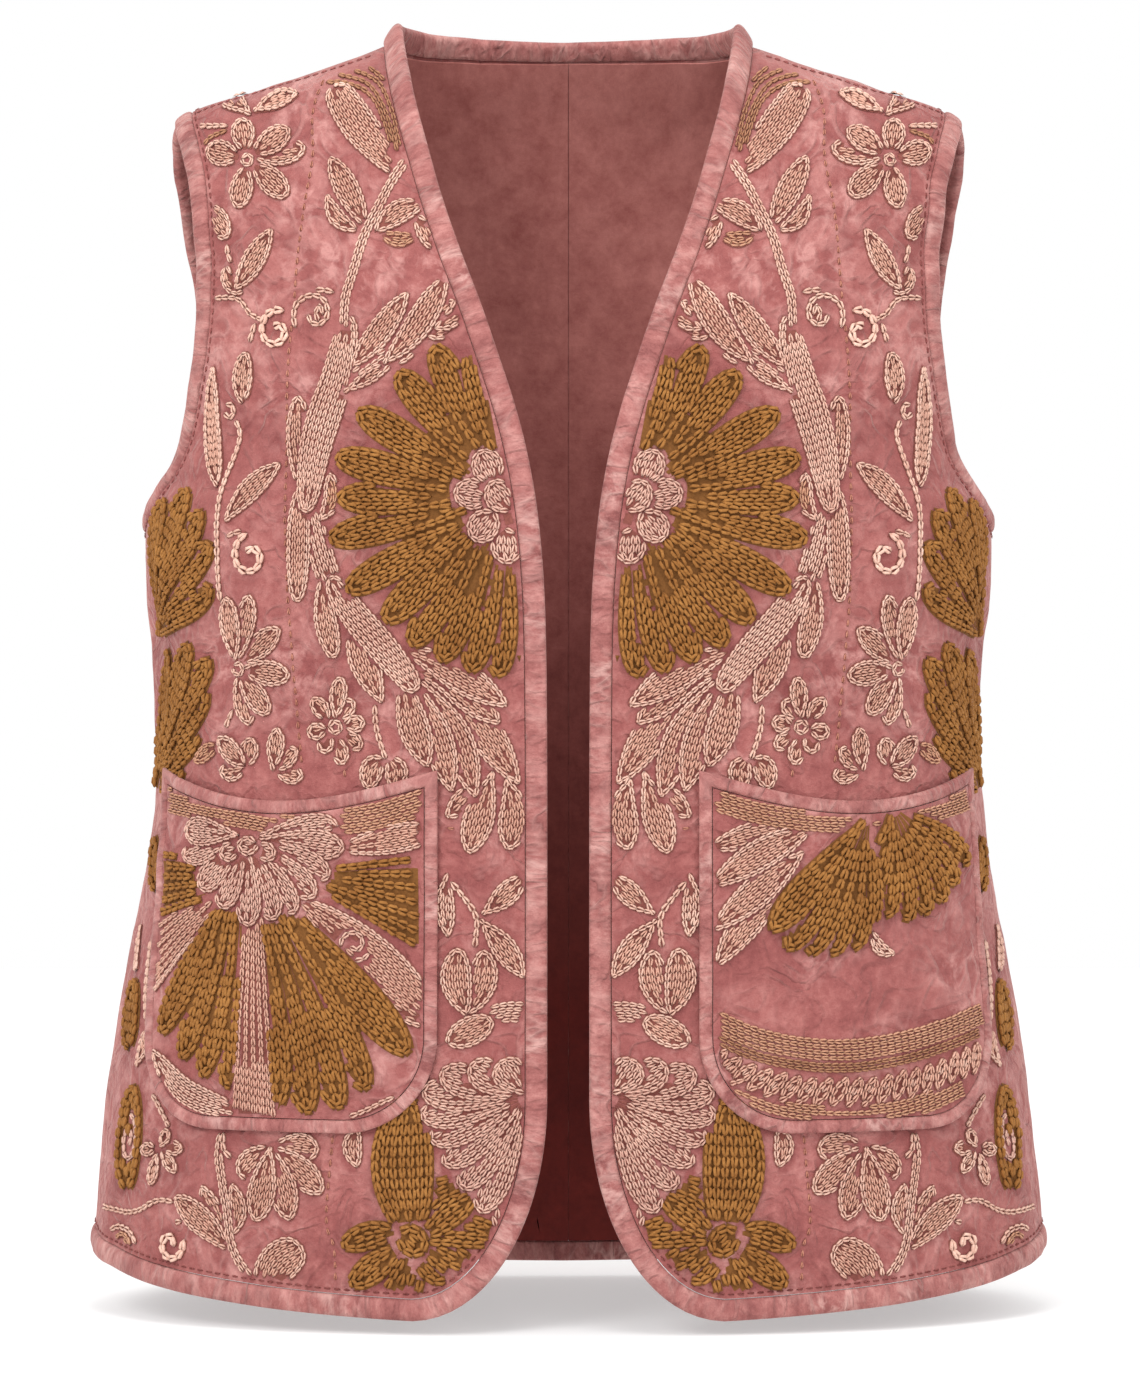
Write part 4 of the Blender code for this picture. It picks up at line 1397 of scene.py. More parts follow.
def block(px_py, colour, outline):
    """A stretch of cloth filled from one long edge (first two pixels) to the other (last two)."""
    first, second, third, fourth = placed(px_py)
    t = np.linspace(0, 1, len(evenly(np.array([first, second]), LINE_STEP)))[:, None]
    left, right = first + (second - first) * t, third + (fourth - third) * t
    width = np.linalg.norm(right - left, axis=1)
    count = max(1, int(round(width.max() / pitch_of(colour))))
    lines = []
    for number in range(count + 1):
        line = left + (right - left) * number / count
        room = width / count * row_level(number)
        lines += kept_runs(line, room > BLOCK_ROW_ROOM * pitch_of(colour))
    rim = [Rows(outline, [left, right], (), OUTLINE_RAISED_MM)] if outline else []
    return [rim + [Rows(colour, lines, ((left, right),))]]


def curl(px_py, radius_mm, turns, start_deg, colour, width_mm, tall, way):
    """A curl that winds in to its centre."""
    middle = placed(px_py)[0]
    t = np.linspace(0, 1, CURL_POINTS)
    turn = math.radians(start_deg) + way * t * turns * 2 * math.pi
    radius = radius_mm / 1000 * (1 - CURL_SHRINK * t)
    path = middle + np.stack([np.cos(turn), np.sin(turn) * tall], axis=-1) * radius[:, None]
    return [[Rows(colour, stem_shape(path[::CURL_SKIP], width_mm / 1000, pitch_of(colour)))]]


def eyelet(px_py, radius_mm, colour):
    """A single round row."""
    turn = np.linspace(0, 2 * math.pi, EYELET_POINTS)
    around = np.stack([np.cos(turn), np.sin(turn)], axis=-1)
    return [[Rows(colour, [placed(px_py)[0] + around * (radius_mm / 1000)])]]


def plait(px_py):
    """A row of short slanting leaves along a path."""
    line = evenly(curve(placed(px_py)), PLAIT_STEP)
    made = []
    for place, side, ahead in zip(line, sideways(line), unit(np.gradient(line, axis=0))):
        reach = side * PLAIT_HALF, ahead * PLAIT_SLANT
        path = np.array([place - reach[0] - reach[1], place + reach[0] + reach[1]])
        made.append(leaf_rows(path, PLAIT_WIDTH, *PLAIT_FORM, "blush", "clay"))
    return made


MAKERS = {
    Leaf: leaf, Stem: stem, Petals: petals, Gored: gored, Lobes: lobes, Block: block, Curl: curl,
    Eyelet: eyelet, Plait: plait,
}


def drawn(table):
    """The motifs of a table, in its order."""
    return [motif for row in table for motif in MAKERS[type(row)](*row)]


# %% [markdown]
# ## The design of a front
#
# Both fronts carry the same design, mirrored. The large daisy sits half under the front edge, a
# branch of leaves sweeps round it from the shoulder, small flowers and curls run down the side, brown
# fans sit at the side seam, and a scalloped fan fills the lower corner.

# %% Daisy and corner
BIG_DAISY = (
    Lobes(
        (503, 500), 7.8, (500, 496, 487, 466, 471, 494, 483, 526, 506, 546, 507, 462, 508, 520, 516,
        492),
    ),
    Gored(
        (508, 500), (472, 348, 434, 347, 398, 373, 359, 412, 337, 457, 339, 498, 330, 539, 347, 590,
        384, 621, 411, 645, 441, 661, 471, 671, 498, 676, 519, 662), 15.6, 13, "brown", 0.62, 0.72,
        0.34,
    ),
)

CORNER_FANS = (
    Gored(
        (528, 1098), (500, 1062, 470, 1066, 440, 1074, 422, 1092, 421, 1116, 430, 1140, 444, 1164,
        461, 1188, 480, 1212, 501, 1232), 16.5, 2, "pink", 0.7,
    ),
    Leaf(15, (401, 1231, 412, 1241, 422, 1252), "brown", "brown", 0.5, 0.3),
    Leaf(29, (411, 1232, 402, 1170, 406, 1098), "brown", "brown", 0.5, 0.38),
    Leaf(24, (416, 1238, 440, 1206, 474, 1190), "brown", "brown", 0.55, 0.45),
    Leaf(20, (414, 1240, 456, 1226, 502, 1234), "brown", "brown", 0.6, 0.45),
    Leaf(19, (414, 1240, 442, 1250, 478, 1270), "brown", "brown", 0.6, 0.45),
    Leaf(14, (412, 1242, 424, 1258, 444, 1282), "brown", "brown", 0.6, 0.45),
    Leaf(13, (404, 1232, 374, 1234, 341, 1246), "brown", "brown", 0.6, 0.45),
    Leaf(14, (406, 1244, 378, 1264, 350, 1286), "brown", "brown", 0.6, 0.45),
    Leaf(17, (411, 1248, 398, 1276, 380, 1306), "brown", "brown", 0.6, 0.45),
    Leaf(10, (414, 1254, 414, 1280, 408, 1304), "brown", "brown", 0.6, 0.45),
)

# %% [markdown]
# Branches of pointed leaves sweep round the daisy and cross each other. Where two of them cross, the
# one that is worked first lies on top.

# %% Branches round the daisy
SHOULDER_BRANCH = (
    Stem(5.0, (407, 158, 392, 180, 380, 202, 364, 236, 354, 270, 345, 298, 343, 326)),
    Stem(2.4, (368, 68, 384, 82, 394, 106, 401, 140), "braid"),
    Stem(2.4, (350, 70, 376, 82, 390, 108, 399, 146), "braid"),
    Stem(2.4, (336, 75, 366, 84, 384, 110, 397, 152), "braid"),
    Stem(2.4, (326, 83, 352, 86, 376, 104, 395, 158), "braid"),
    Leaf(17.5, (334, 88, 360, 128, 398, 172), fullest=0.4, roundness=0.3),
    Leaf(12.5, (366, 228, 348, 192, 330, 158), fullest=0.55, roundness=0.55),
    Leaf(8.5, (360, 232, 338, 220, 327, 196), fullest=0.5),
    Leaf(12, (374, 233, 398, 212, 426, 203), fullest=0.5),
    Leaf(9, (414, 214, 424, 230, 430, 248), fullest=0.55, roundness=0.5),
    Leaf(8, (378, 234, 398, 240, 418, 236), "tan", "tan", 0.5),
)

UPPER_SPRAY = (
    Leaf(12.5, (352, 366, 378, 334, 407, 294), fullest=0.5, roundness=0.55),
    Leaf(13.5, (384, 364, 416, 328, 446, 277), fullest=0.55, roundness=0.55),
    Leaf(7.5, (430, 322, 442, 311, 455, 301)),
    Leaf(8, (432, 330, 448, 323, 464, 313)),
    Leaf(7.5, (424, 336, 438, 334, 451, 331)),
    Leaf(7.5, (344, 392, 370, 376, 394, 361)),
    Leaf(8, (384, 368, 402, 356, 420, 341)),
    Stem(7.5, (352, 372, 384, 350, 412, 336, 440, 322)),
)

MIDDLE_BRANCH = (
    Leaf(17.5, (349, 316, 340, 366, 326, 410, 315, 450, 305, 512), "clay", "clay", 0.5, 0.3),
    Leaf(13.5, (298, 397, 299, 440, 303, 488), fullest=0.5, roundness=0.36),
    Leaf(12.5, (301, 482, 298, 540, 297, 602), fullest=0.55, roundness=0.34),
    Leaf(6.5, (352, 366, 356, 348, 356, 330), fullest=0.6, roundness=0.5),
    Leaf(9.5, (320, 520, 332, 500, 330, 472), "tan", fullest=0.5, roundness=0.6),
    Leaf(12.5, (308, 486, 314, 528, 330, 580, 356, 622), "clay", "clay", 0.55, 0.26),
)

LOWER_FAN = (
    Leaf(14.5, (330, 578, 352, 612, 374, 638, 396, 664, 416, 690), "clay", "clay", 0.5, 0.2),
    Leaf(12, (320, 580, 325, 618, 334, 658), fullest=0.6, roundness=0.4),
    Leaf(15, (354, 612, 362, 656, 382, 704), fullest=0.5),
    Leaf(15.5, (388, 646, 436, 662, 508, 706), fullest=0.6),
    Leaf(16, (404, 668, 452, 682, 500, 724), fullest=0.6),
    Leaf(15.5, (400, 664, 412, 720, 428, 768), fullest=0.6),
    Leaf(15.5, (410, 672, 434, 730, 452, 793), fullest=0.6),
    Leaf(16, (414, 672, 452, 730, 476, 798), fullest=0.6),
    Leaf(16.5, (420, 672, 470, 714, 519, 784), fullest=0.6),
    Leaf(15, (492, 772, 480, 812, 468, 854), fullest=0.6, roundness=0.6),
    Leaf(15, (506, 778, 514, 812, 508, 850), fullest=0.6, roundness=0.6),
    Leaf(11.5, (478, 782, 464, 800, 445, 818), fullest=0.5),
    Stem(2.4, (374, 700, 376, 730, 386, 760)),
    Leaf(12, (384, 758, 372, 768, 368, 790), fullest=0.5, roundness=0.6),
    Leaf(12, (388, 758, 396, 770, 394, 790), fullest=0.5, roundness=0.6),
)

# %% [markdown]
# Down the side run small flowers on thin stems, with curls of thicker thread, and half fans that the
# side seam cuts off.

# %% Side column
SHOULDER_FLOWER = (
    Eyelet((247, 160), 2.8, "clay"),
    Petals(
        (247, 159), (241, 120, 289, 130, 305, 149, 287, 196, 238, 208, 206, 150), 13.5, 3, "blush",
        "clay", 0.6, 0.5,
    ),
    Leaf(10, (252, 116, 236, 104, 220, 97)),
    Leaf(11, (254, 112, 276, 100, 298, 94)),
    Stem(2.4, (244, 128, 222, 126, 190, 126)),
    Stem(2.4, (226, 131, 208, 138, 200, 150), "braid"),
)

SIDE_STEMS = (
    Stem(2.4, (211, 350, 211, 326, 212, 302, 226, 298, 240, 300, 250, 314, 262, 320)),
    Stem(2.4, (222, 160, 204, 168, 200, 184, 207, 202)),
    Stem(2.4, (228, 240, 228, 252, 232, 264)),
    Stem(2.4, (222, 612, 218, 580, 217, 540, 218, 505, 226, 478, 238, 446, 241, 432, 236, 420)),
    Leaf(14, (208, 207, 218, 222, 229, 238), fullest=0.5, roundness=0.5),
    Leaf(12.5, (237, 289, 254, 262, 271, 230), fullest=0.5, roundness=0.6),
    Leaf(10, (228, 266, 229, 280, 243, 293), fullest=0.5, roundness=0.5),
    Curl((277, 331), 10.4, 1.25, 120, "rope", 3.7, way=-1),
    Curl((314, 314), 11.5, 1.2, -30, "cord", way=1),
    Leaf(6, (318, 325, 320, 303), roundness=0.8),
    Stem(2.4, (341, 298, 330, 291, 316, 290)),
    Leaf(12.5, (243, 403, 243, 378, 247, 352), fullest=0.5, roundness=0.5),
    Stem(2.4, (256, 322, 252, 336, 248, 350)),
    Eyelet((230, 411), 3.4, "cord"),
    Leaf(12.8, (217, 486, 213, 436, 214, 366), fullest=0.42, roundness=0.6),
    Leaf(12.5, (225, 521, 250, 490, 279, 464), fullest=0.55, roundness=0.6),
    Stem(2.4, (224, 538, 236, 532, 244, 532)),
    Curl((251, 556), 10.6, 1.25, 80, "rope", 3.7, way=-1),
)

SIDE_FANS = (
    Gored((158, 640), (166, 500, 189, 489, 203, 512, 212, 545, 213, 590), 18, 2, "brown"),
    Gored((157, 792), (168, 650, 192, 644, 211, 660, 209, 694, 202, 728, 186, 764), 18, 2, "brown"),
    Leaf(15, (156, 890, 156, 866, 156, 838), "brown", "brown", 0.5, 0.4),
    Leaf(19, (130, 1048, 132, 1014, 138, 980), "brown", "brown", 0.45, 0.4),
)

SMALL_FLOWERS = (
    Eyelet((238, 669), 3.0, "clay"),
    Petals(
        (236, 668), (226, 597, 250, 595, 279, 629, 290, 676, 269, 714, 250, 724), 12.5, 3, "blush",
        "clay", 0.6, 0.5,
    ),
    Eyelet((335, 727), 3.0, "clay"),
    Petals(
        (335, 727), (340, 676, 313, 698, 308, 733, 321, 752, 342, 765, 361, 748, 364, 722, 352,
        699), 9.5, 3.6, "blush", "clay", 0.6, 0.55,
    ),
    Petals((248, 768), (220, 738, 222, 772, 252, 738), 11.5, 1, "blush", "clay", 0.55, 0.5),
    Petals((274, 772), (278, 728, 297, 748, 303, 776), 10, 1, "blush", "clay", 0.6, 0.5),
    Stem(2.4, (238, 700, 230, 716, 224, 736)),
    Leaf(9, (222, 744, 208, 752, 196, 762), "tan", "tan"),
)

# %% [markdown]
# The pocket covers part of the front's embroidery. What shows beside it and below it is here.

# %% Below the pocket and beside it
BESIDE_POCKET = (
    Stem(3.0, (447, 878, 462, 896, 476, 918, 474, 948)),
    Leaf(11.5, (482, 914, 504, 896, 525, 874)),
    Leaf(12, (480, 920, 502, 946, 524, 978)),
    Leaf(10, (447, 872, 444, 904, 448, 938), "clay"),
    Leaf(15, (466, 1014, 456, 982, 458, 948), fullest=0.55, roundness=0.5),
    Leaf(14, (468, 1014, 482, 982, 484, 950), fullest=0.55, roundness=0.5),
    Leaf(14, (447, 1042, 468, 1032, 492, 1020), fullest=0.5, roundness=0.4),
    Stem(9, (490, 1016, 506, 1012, 526, 1012)),
    Leaf(8, (141, 925, 137, 950, 139, 976)),
    Stem(2.4, (152, 940, 147, 1000, 153, 1062)),
    Leaf(9, (137, 1066, 146, 1044, 150, 1022)),
    Stem(2.4, (150, 1092, 158, 1104, 170, 1126)),
)

BELOW_POCKET = (
    Petals(
        (271, 1143), (256, 1221, 290, 1219, 322, 1192, 318, 1150, 240, 1176), 14.5, 2, "blush",
        "clay", 0.62, 0.5,
    ),
    Stem(2.4, (225, 1128, 224, 1148, 236, 1160, 252, 1156, 256, 1140)),
    Stem(4.9, (224, 1128, 220, 1157, 226, 1207, 233, 1250, 254, 1284)),
    Leaf(14, (230, 1250, 204, 1222, 174, 1196), fullest=0.55, roundness=0.6),
    Leaf(12, (228, 1246, 214, 1214, 203, 1184)),
    Leaf(10, (230, 1240, 238, 1212, 232, 1182)),
    Stem(2.4, (184, 1206, 160, 1200, 132, 1212, 104, 1206)),
    Stem(2.4, (208, 1240, 192, 1222, 176, 1222)),
    Curl((172, 1244), 8.6, 1.25, 160, "rope", 3.7, way=1),
    Stem(2.4, (246, 1284, 222, 1278, 192, 1276, 162, 1268)),
    Leaf(8, (222, 1284, 208, 1276, 196, 1278)),
    Leaf(20, (264, 1296, 276, 1266, 302, 1247), fullest=0.55, roundness=0.3),
    Petals((160, 1148), (170, 1130, 184, 1148, 176, 1172, 150, 1186, 142, 1150), 8, 1),
    Leaf(10, (357, 1128, 352, 1146, 357, 1166), fullest=0.5, roundness=0.5),
    Curl((130, 1140), 6.5, 1.5, 90, "pink", 2.3, 1.9),
    Leaf(21, (128, 1190, 130, 1138, 134, 1086), "brown", "brown", 0.5, 0.35),
    Stem(2.4, (108, 1234, 118, 1226, 130, 1232, 138, 1246)),
    Leaf(9, (112, 1246, 122, 1240, 134, 1252), "tan", "tan"),
)

# %% [markdown]
# There are two kinds of running stitch. A fine line just inside each seam is worked before anything
# else. Long lines that hold the velvet to its backing come last, and so they stop at the motifs.

# %% Running stitches
SEAM_IN = 0.0020
SHOULDER_IN = 0.0062

QUILTING = (
    Stem(
        1.4, (324, 79, 312, 115, 312, 155, 304, 202, 298, 258, 294, 300, 287, 370, 285, 480, 287,
        600, 298, 726, 304, 785), "dash",
    ),
    Stem(1.4, (332, 1136, 326, 1219, 333, 1247, 335, 1289), "dash"),
    Stem(1.4, (343, 766, 344, 776, 344, 784), "dash"),
    Stem(1.4, (445, 828, 482, 830, 520, 832), "dash"),
)


def edge_seam(edge, inward, inset=SEAM_IN):
    """A fine line of stitches just inside an edge; inward is 1 or -1 by the edge's direction."""
    line = evenly(unrolled(edge), LINE_STEP)
    return [[Rows("seam", [line + sideways(line) * inset * inward])]]


FRONT_SEAMS = (
    edge_seam(FRONT_NET[0, ::-1], -1) + edge_seam(FRONT_NET[1:, 0], 1)
    + edge_seam(FRONT_NET[-1, LOW_ROWS:], 1) + edge_seam(FRONT_NET[:, -1], -1, SHOULDER_IN)
)
FRONT_DESIGN = drawn(
    BIG_DAISY + CORNER_FANS + SIDE_FANS + SHOULDER_FLOWER + SMALL_FLOWERS + SHOULDER_BRANCH
    + UPPER_SPRAY + LOWER_FAN + MIDDLE_BRANCH + SIDE_STEMS + BESIDE_POCKET + BELOW_POCKET + QUILTING
)
print("front design", len(FRONT_DESIGN), "motifs")

# %% [markdown]
# ## The pockets' designs
#
# The pockets are cut from other parts of the same old embroidery, so each has its own: a scalloped
# fan over brown blades on the pocket at the viewer's left, and two brown fans over a curved braid on
# the other.

# %% Pocket designs
FAN_POCKET = (
    Lobes((252, 846), 5.2, (252, 846, 234, 852, 270, 852)),
    Gored(
        (254, 836), (192, 830, 190, 856, 206, 888, 226, 908, 252, 926, 278, 920, 298, 913, 318, 896,
        332, 876, 346, 848, 340, 826), 14.5, 6, "pink", 0.66,
    ),
    Stem(13.8, (172, 799, 240, 814, 300, 823, 370, 818, 438, 798), "tan"),
    Stem(4.6, (172, 786, 240, 801, 300, 811, 370, 805, 438, 784), "braid"),
    Leaf(14, (338, 850, 380, 842, 440, 830), fullest=0.6, roundness=0.45),
    Block((249, 918, 238, 1120, 265, 918, 276, 1120), "blush"),
    Block((214, 862, 150, 848, 212, 898, 150, 922), "brown"),
    Gored((247, 868), (168, 1034, 188, 1060, 208, 1078, 232, 1090), 15.5, 8, "brown", 0.8),
    Gored(
        (262, 872), (280, 1110, 311, 1114, 342, 1109, 369, 1090, 410, 1054), 19, 10, "brown", 0.8,
    ),
    Block((312, 872, 442, 856, 316, 884, 442, 968), "brown"),
    Block((208, 893, 150, 930, 224, 908, 150, 1010), "blush", "clay"),
    Curl((356, 944), 8.5, 1.5, 200, "clay", 2.4),
    Leaf(27, (300, 900, 356, 950, 440, 1026), fullest=0.55, roundness=0.5),
    Leaf(15, (160, 1052, 190, 1094, 250, 1116), "clay", fullest=0.5, roundness=0.5),
    Leaf(9, (288, 1122, 350, 1124, 404, 1094), "clay", fullest=0.5, roundness=0.5),
)

BRAID_POCKET = (
    Gored(
        (866, 812), (768, 930, 784, 950, 806, 955, 828, 956, 850, 950, 862, 930), 16, 3, "brown",
        0.8,
    ),
    Gored(
        (888, 806), (866, 900, 882, 918, 902, 922, 922, 915, 938, 902, 950, 884, 960, 862), 15, 3,
        "brown", 0.8,
    ),
    Stem(9.2, (700, 796, 760, 814, 830, 822, 900, 818, 966, 797), "tan"),
    Leaf(15, (812, 826, 762, 852, 704, 888), fullest=0.5),
    Leaf(12, (796, 824, 746, 836, 702, 850), fullest=0.5),
    Leaf(15, (800, 852, 756, 890, 708, 932), fullest=0.5),
    Leaf(14, (782, 892, 744, 924, 712, 968), fullest=0.5),
    Leaf(7, (866, 930, 874, 948, 890, 955), "clay", fullest=0.5),
    Stem(9.2, (704, 1016, 760, 1040, 834, 1050, 906, 1040, 974, 1014), "tan"),
    Stem(4.6, (704, 1034, 760, 1058, 834, 1068, 906, 1058, 974, 1032), "braid"),
    Plait((712, 1060, 770, 1084, 836, 1092, 904, 1084, 968, 1058)),
    Stem(9.2, (716, 1086, 776, 1110, 838, 1116, 900, 1110, 956, 1086), "tan"),
)
print("pockets' designs", len(FAN_POCKET), "and", len(BRAID_POCKET), "rows")

# %% [markdown]
# ## Where there is room
#
# Each cloth has a small map of free cells. Cells beyond its edge are taken from the start, and a motif
# takes its own as it is worked, so later rows stop at it.

# %% The map of free cloth
MAP_Z0, MAP_Z1 = -0.63, 0.02
MAP_REACH = 0.50
MAP_ROWS = np.arange(MAP_Z0, MAP_Z1, CELL)
MAP_COLUMNS = np.arange(0, MAP_REACH, CELL)
EDGE_ROOM = 0.0012
THICK_GAUGE = 1.5
THICK_ROOM = 0.0008
RUNNING = ("dash", "seam")
LENGTH_POWER = 0.6
GroundRow = namedtuple("GroundRow", "across lift")
GROUND_ROWS = (
    GroundRow(0.02, -0.0003), GroundRow(0.12, 0.0001), GroundRow(0.35, 0.00025),
    GroundRow(0.65, 0.00025), GroundRow(0.88, 0.0001), GroundRow(0.98, -0.0003),
)
BETWEEN = (0.1, 0.9)


def inside_outline(outline):
    """Which cells of the map lie inside a closed outline on the flat cloth."""
    z, reach = MAP_ROWS, MAP_COLUMNS
    inside = np.zeros((len(z), len(reach)), dtype=bool)
    after = np.roll(outline, -1, axis=0)
    for (r0, z0), (r1, z1) in zip(outline, after):
        rows = (z > min(z0, z1)) & (z <= max(z0, z1))
        if rows.any():
            cross = r0 + (z[rows] - z0) / (z1 - z0) * (r1 - r0)
            inside[rows] ^= reach[None] < cross[:, None]
    return inside


def net_outline(net, from_back=False):
    edge = np.concatenate([net[:, 0], net[-1, 1:], net[::-1, -1][1:], net[0, ::-1][1:-1]])
    return unrolled(edge, from_back)


def shrunk(mask, room):
    for _ in range(int(round(room / CELL))):
        inner = mask.copy()
        inner[1:] &= mask[:-1]
        inner[:-1] &= mask[1:]
        inner[:, 1:] &= mask[:, :-1]
        inner[:, :-1] &= mask[:, 1:]
        mask = inner
    return mask


def cells(places):
    """The map's row and column of each place, kept a cell away from the map's border."""
    row = ((places[..., 1] - MAP_Z0) / CELL).round().astype(int)
    column = (places[..., 0] / CELL).round().astype(int)
    return np.clip(row, 2, len(MAP_ROWS) - 3), np.clip(column, 2, len(MAP_COLUMNS) - 3)


def ground_quads(edges, free):
    """The free part of a low padded ground between a leaf's two edges, coloured as painted shade:
    corners and lifts.
    """
    count = max(2, int(len(edges[0]) * LINE_STEP / GROUND_STEP))
    pick = np.linspace(0, len(edges[0]) - 1, count).astype(int)
    across = np.array([row.across for row in GROUND_ROWS])[None, :, None]
    net = edges[0][pick][:, None] * (1 - across) + edges[1][pick][:, None] * across
    lift = np.broadcast_to(np.array([row.lift for row in GROUND_ROWS]), net.shape[:2])
    good = free[cells(net)] & (net[..., 0] > 0)
    good = good[1:, 1:] & good[:-1, 1:] & good[1:, :-1] & good[:-1, :-1]
    corners = (net[:-1, :-1], net[1:, :-1], net[1:, 1:], net[:-1, 1:])
    lifts = (lift[:-1, :-1], lift[1:, :-1], lift[1:, 1:], lift[:-1, 1:])
    return np.stack(corners, axis=2)[good], np.stack(lifts, axis=2)[good]


def between(first, second):
    """Lines from one edge of a filled shape to the other, close enough to cover its cells."""
    count = max(2, int(np.linalg.norm(second - first, axis=1).max() / CELL / 2))
    return [first + (second - first) * part for part in np.linspace(*BETWEEN, count)]


Worked = namedtuple("Worked", "links raised grounds ground_lifts")


def work(design, free):
    """Works a design on a cloth: for each colour its links and padded grounds, as flat places."""
    thick_room = shrunk(free, THICK_ROOM)
    free = free.copy()
    found, count = {}, 0
    for motif in design:
        taken = []
        for rows in motif:
            gauge = GAUGE[rows.colour]
            room = free & thick_room if gauge > THICK_GAUGE else free
            kept = found.setdefault(rows.colour, Worked([], [], [], []))
            for line in rows.lines:
                count += 1
                nodes = stitched(line, (count * GOLDEN) % 1, LINK_LENGTH * gauge**LENGTH_POWER)
                good = room[cells(nodes)] & (nodes[:, 0] > 0)
                both = good[1:] & good[:-1]
                if rows.colour in RUNNING:
                    both[1::2] = False
                kept.links.append(np.stack([nodes[:-1][both], nodes[1:][both]], axis=1))
                kept.raised.append(np.full(both.sum(), rows.raised_mm / 1000))
                taken.append((evenly(line, CELL), 2 if gauge > THICK_GAUGE else 1))
            for edges in rows.grounds:
                corners, lifts = ground_quads(edges, free)
                kept.grounds.append(corners)
                kept.ground_lifts.append(lifts)
        for rows in motif:
            taken += [(line, 1) for edges in rows.grounds if rows.lines for line in between(*edges)]
        for line, reach in taken:
            row, column = cells(line)
            for i in range(-reach, reach + 1):
                for j in range(-reach, reach + 1):
                    free[row + i, column + j] = False
    return {
        colour: Worked(*[np.concatenate(part) if part else np.zeros((0, 4, 2)) for part in kept])
        for colour, kept in found.items()
    }


FRONT_ROOM = shrunk(inside_outline(net_outline(FRONT_NET)), EDGE_ROOM)
POCKET_AREA = inside_outline(net_outline(POCKET_NET))
POCKET_ROOM = shrunk(POCKET_AREA, EDGE_ROOM)
BACK_ROOM = shrunk(inside_outline(net_outline(BACK_NET, True)), EDGE_ROOM)
BACK_ROOM[:, :2] = BACK_ROOM[:, 3:4]
worked_front = work(FRONT_SEAMS + FRONT_DESIGN, FRONT_ROOM & ~POCKET_AREA)
worked_pocket = {
    "right": work(drawn(FAN_POCKET), POCKET_ROOM),
    "left": work(drawn(BRAID_POCKET), POCKET_ROOM),
}
BACK_SHIFT = 0.016


def shifted(design, by):
    """The same design moved towards the centre line."""
    step = np.array([by, 0])
    moved = []
    for motif in design:
        parts = []
        for rows in motif:
            grounds = tuple((first - step, second - step) for first, second in rows.grounds)
            parts.append(rows._replace(lines=[line - step for line in rows.lines], grounds=grounds))
        moved.append(parts)
    return moved


Ray = namedtuple("Ray", "reach z width")
CROWN_MIDDLE = np.array([0.0, -0.088])
CROWN_START = 0.005
CROWN_FORM = Form(0.62, 0.5)
CROWN_PETALS = (
    Ray(0.004, -0.044, 0.0155), Ray(0.025, -0.054, 0.0155), Ray(0.036, -0.084, 0.0155),
    Ray(0.028, -0.114, 0.0155), Ray(0.006, -0.130, 0.0155),
)
STEM_LEAF_FORM = Form(0.6, 0.6)
STEM_LEAVES = (Ray(0.034, -0.140, 0.012), Ray(0.036, -0.166, 0.012))
STEM_LEAF_START = np.array([0.003, -0.024])
STEM_LEAF_BEND = np.array([0.002, -0.004])
SEED_STEP = 0.0025
SEED_HALF = 0.003
CROWN_STEM = np.array([[0.0018, -0.132], [0.0018, -0.196]])


def crown():
    """Half a flower and its stem, on the centre line under the neck, where only the back has room."""
    upright = CROWN_MIDDLE + np.array([[0, SEED_HALF], [0, -SEED_HALF]])
    made = [[Rows("pink", [upright + np.array([SEED_STEP, 0]) * k for k in (0.5, 1.5)])]]
    for ray in CROWN_PETALS:
        tip = np.array([ray.reach, ray.z])
        path = np.array([CROWN_MIDDLE + unit(tip - CROWN_MIDDLE) * CROWN_START, tip])
        made.append(leaf_rows(path, ray.width, *CROWN_FORM, "clay", "blush"))
    for ray in STEM_LEAVES:
        tip = np.array([ray.reach, ray.z])
        base = STEM_LEAF_START + (0, ray.z)
        path = np.array([base, (base + tip) / 2 + STEM_LEAF_BEND, tip])
        made.append(leaf_rows(path, ray.width, *STEM_LEAF_FORM, "clay", "blush"))
    made.append([Rows("cord", [evenly(CROWN_STEM, LINE_STEP)])])
    return made


worked_back = work(drawn(FAN_POCKET) + shifted(FRONT_DESIGN, BACK_SHIFT) + crown(), BACK_ROOM)
print("links on a front", {colour: len(done.links) for colour, done in worked_front.items()})
print("links on the back half", {colour: len(done.links) for colour, done in worked_back.items()})

# %% [markdown]
# ## Thread
#
# A link of chain stitch is a loop of soft cotton: two strands leave one point, bow apart and close
# again inside the next link. Each strand is a spindle of two rings, and a low roof lies under the row,
# so that no cloth shows through it; the roof is coloured as painted shade between the loops. No two
# strands lie quite alike, as by hand. All links of a colour make one mesh.

# %% Links as meshes
THREAD = 0.00056
BOW = 0.00062
LINK_LIFT = 0.00070
UNEVEN_BOW = 0.22
UNEVEN_LIFT = 0.24
ROOF_HALF = 0.00128
ROOF_TOP = 0.00042
ROOF_EDGE = -0.0002
ROOF_OVERLAP = 0.0003
Ring = namedtuple("Ring", "along bow lift")
STRAND = (Ring(-0.20, 0.0, 0.55), Ring(0.24, 0.70, 1.0), Ring(0.78, 1.12, 1.0), Ring(1.20, 0.35, 0.7))
FINE_RING = np.radians([90, 210, 330])
THICK_RING = np.radians([45, 135, 225, 315])


def strand_faces(first, count):
    """A spindle's triangles: a point, two rings of some points and a point, counted from the first."""
    last = 2 * count + 1
    made = []
    for k in range(count):
        a, b = 1 + k, 1 + (k + 1) % count
        made += [(0, b, a), (a, b, b + count), (a, b + count, a + count), (last, a + count, b + count)]
    return np.array(made) + first


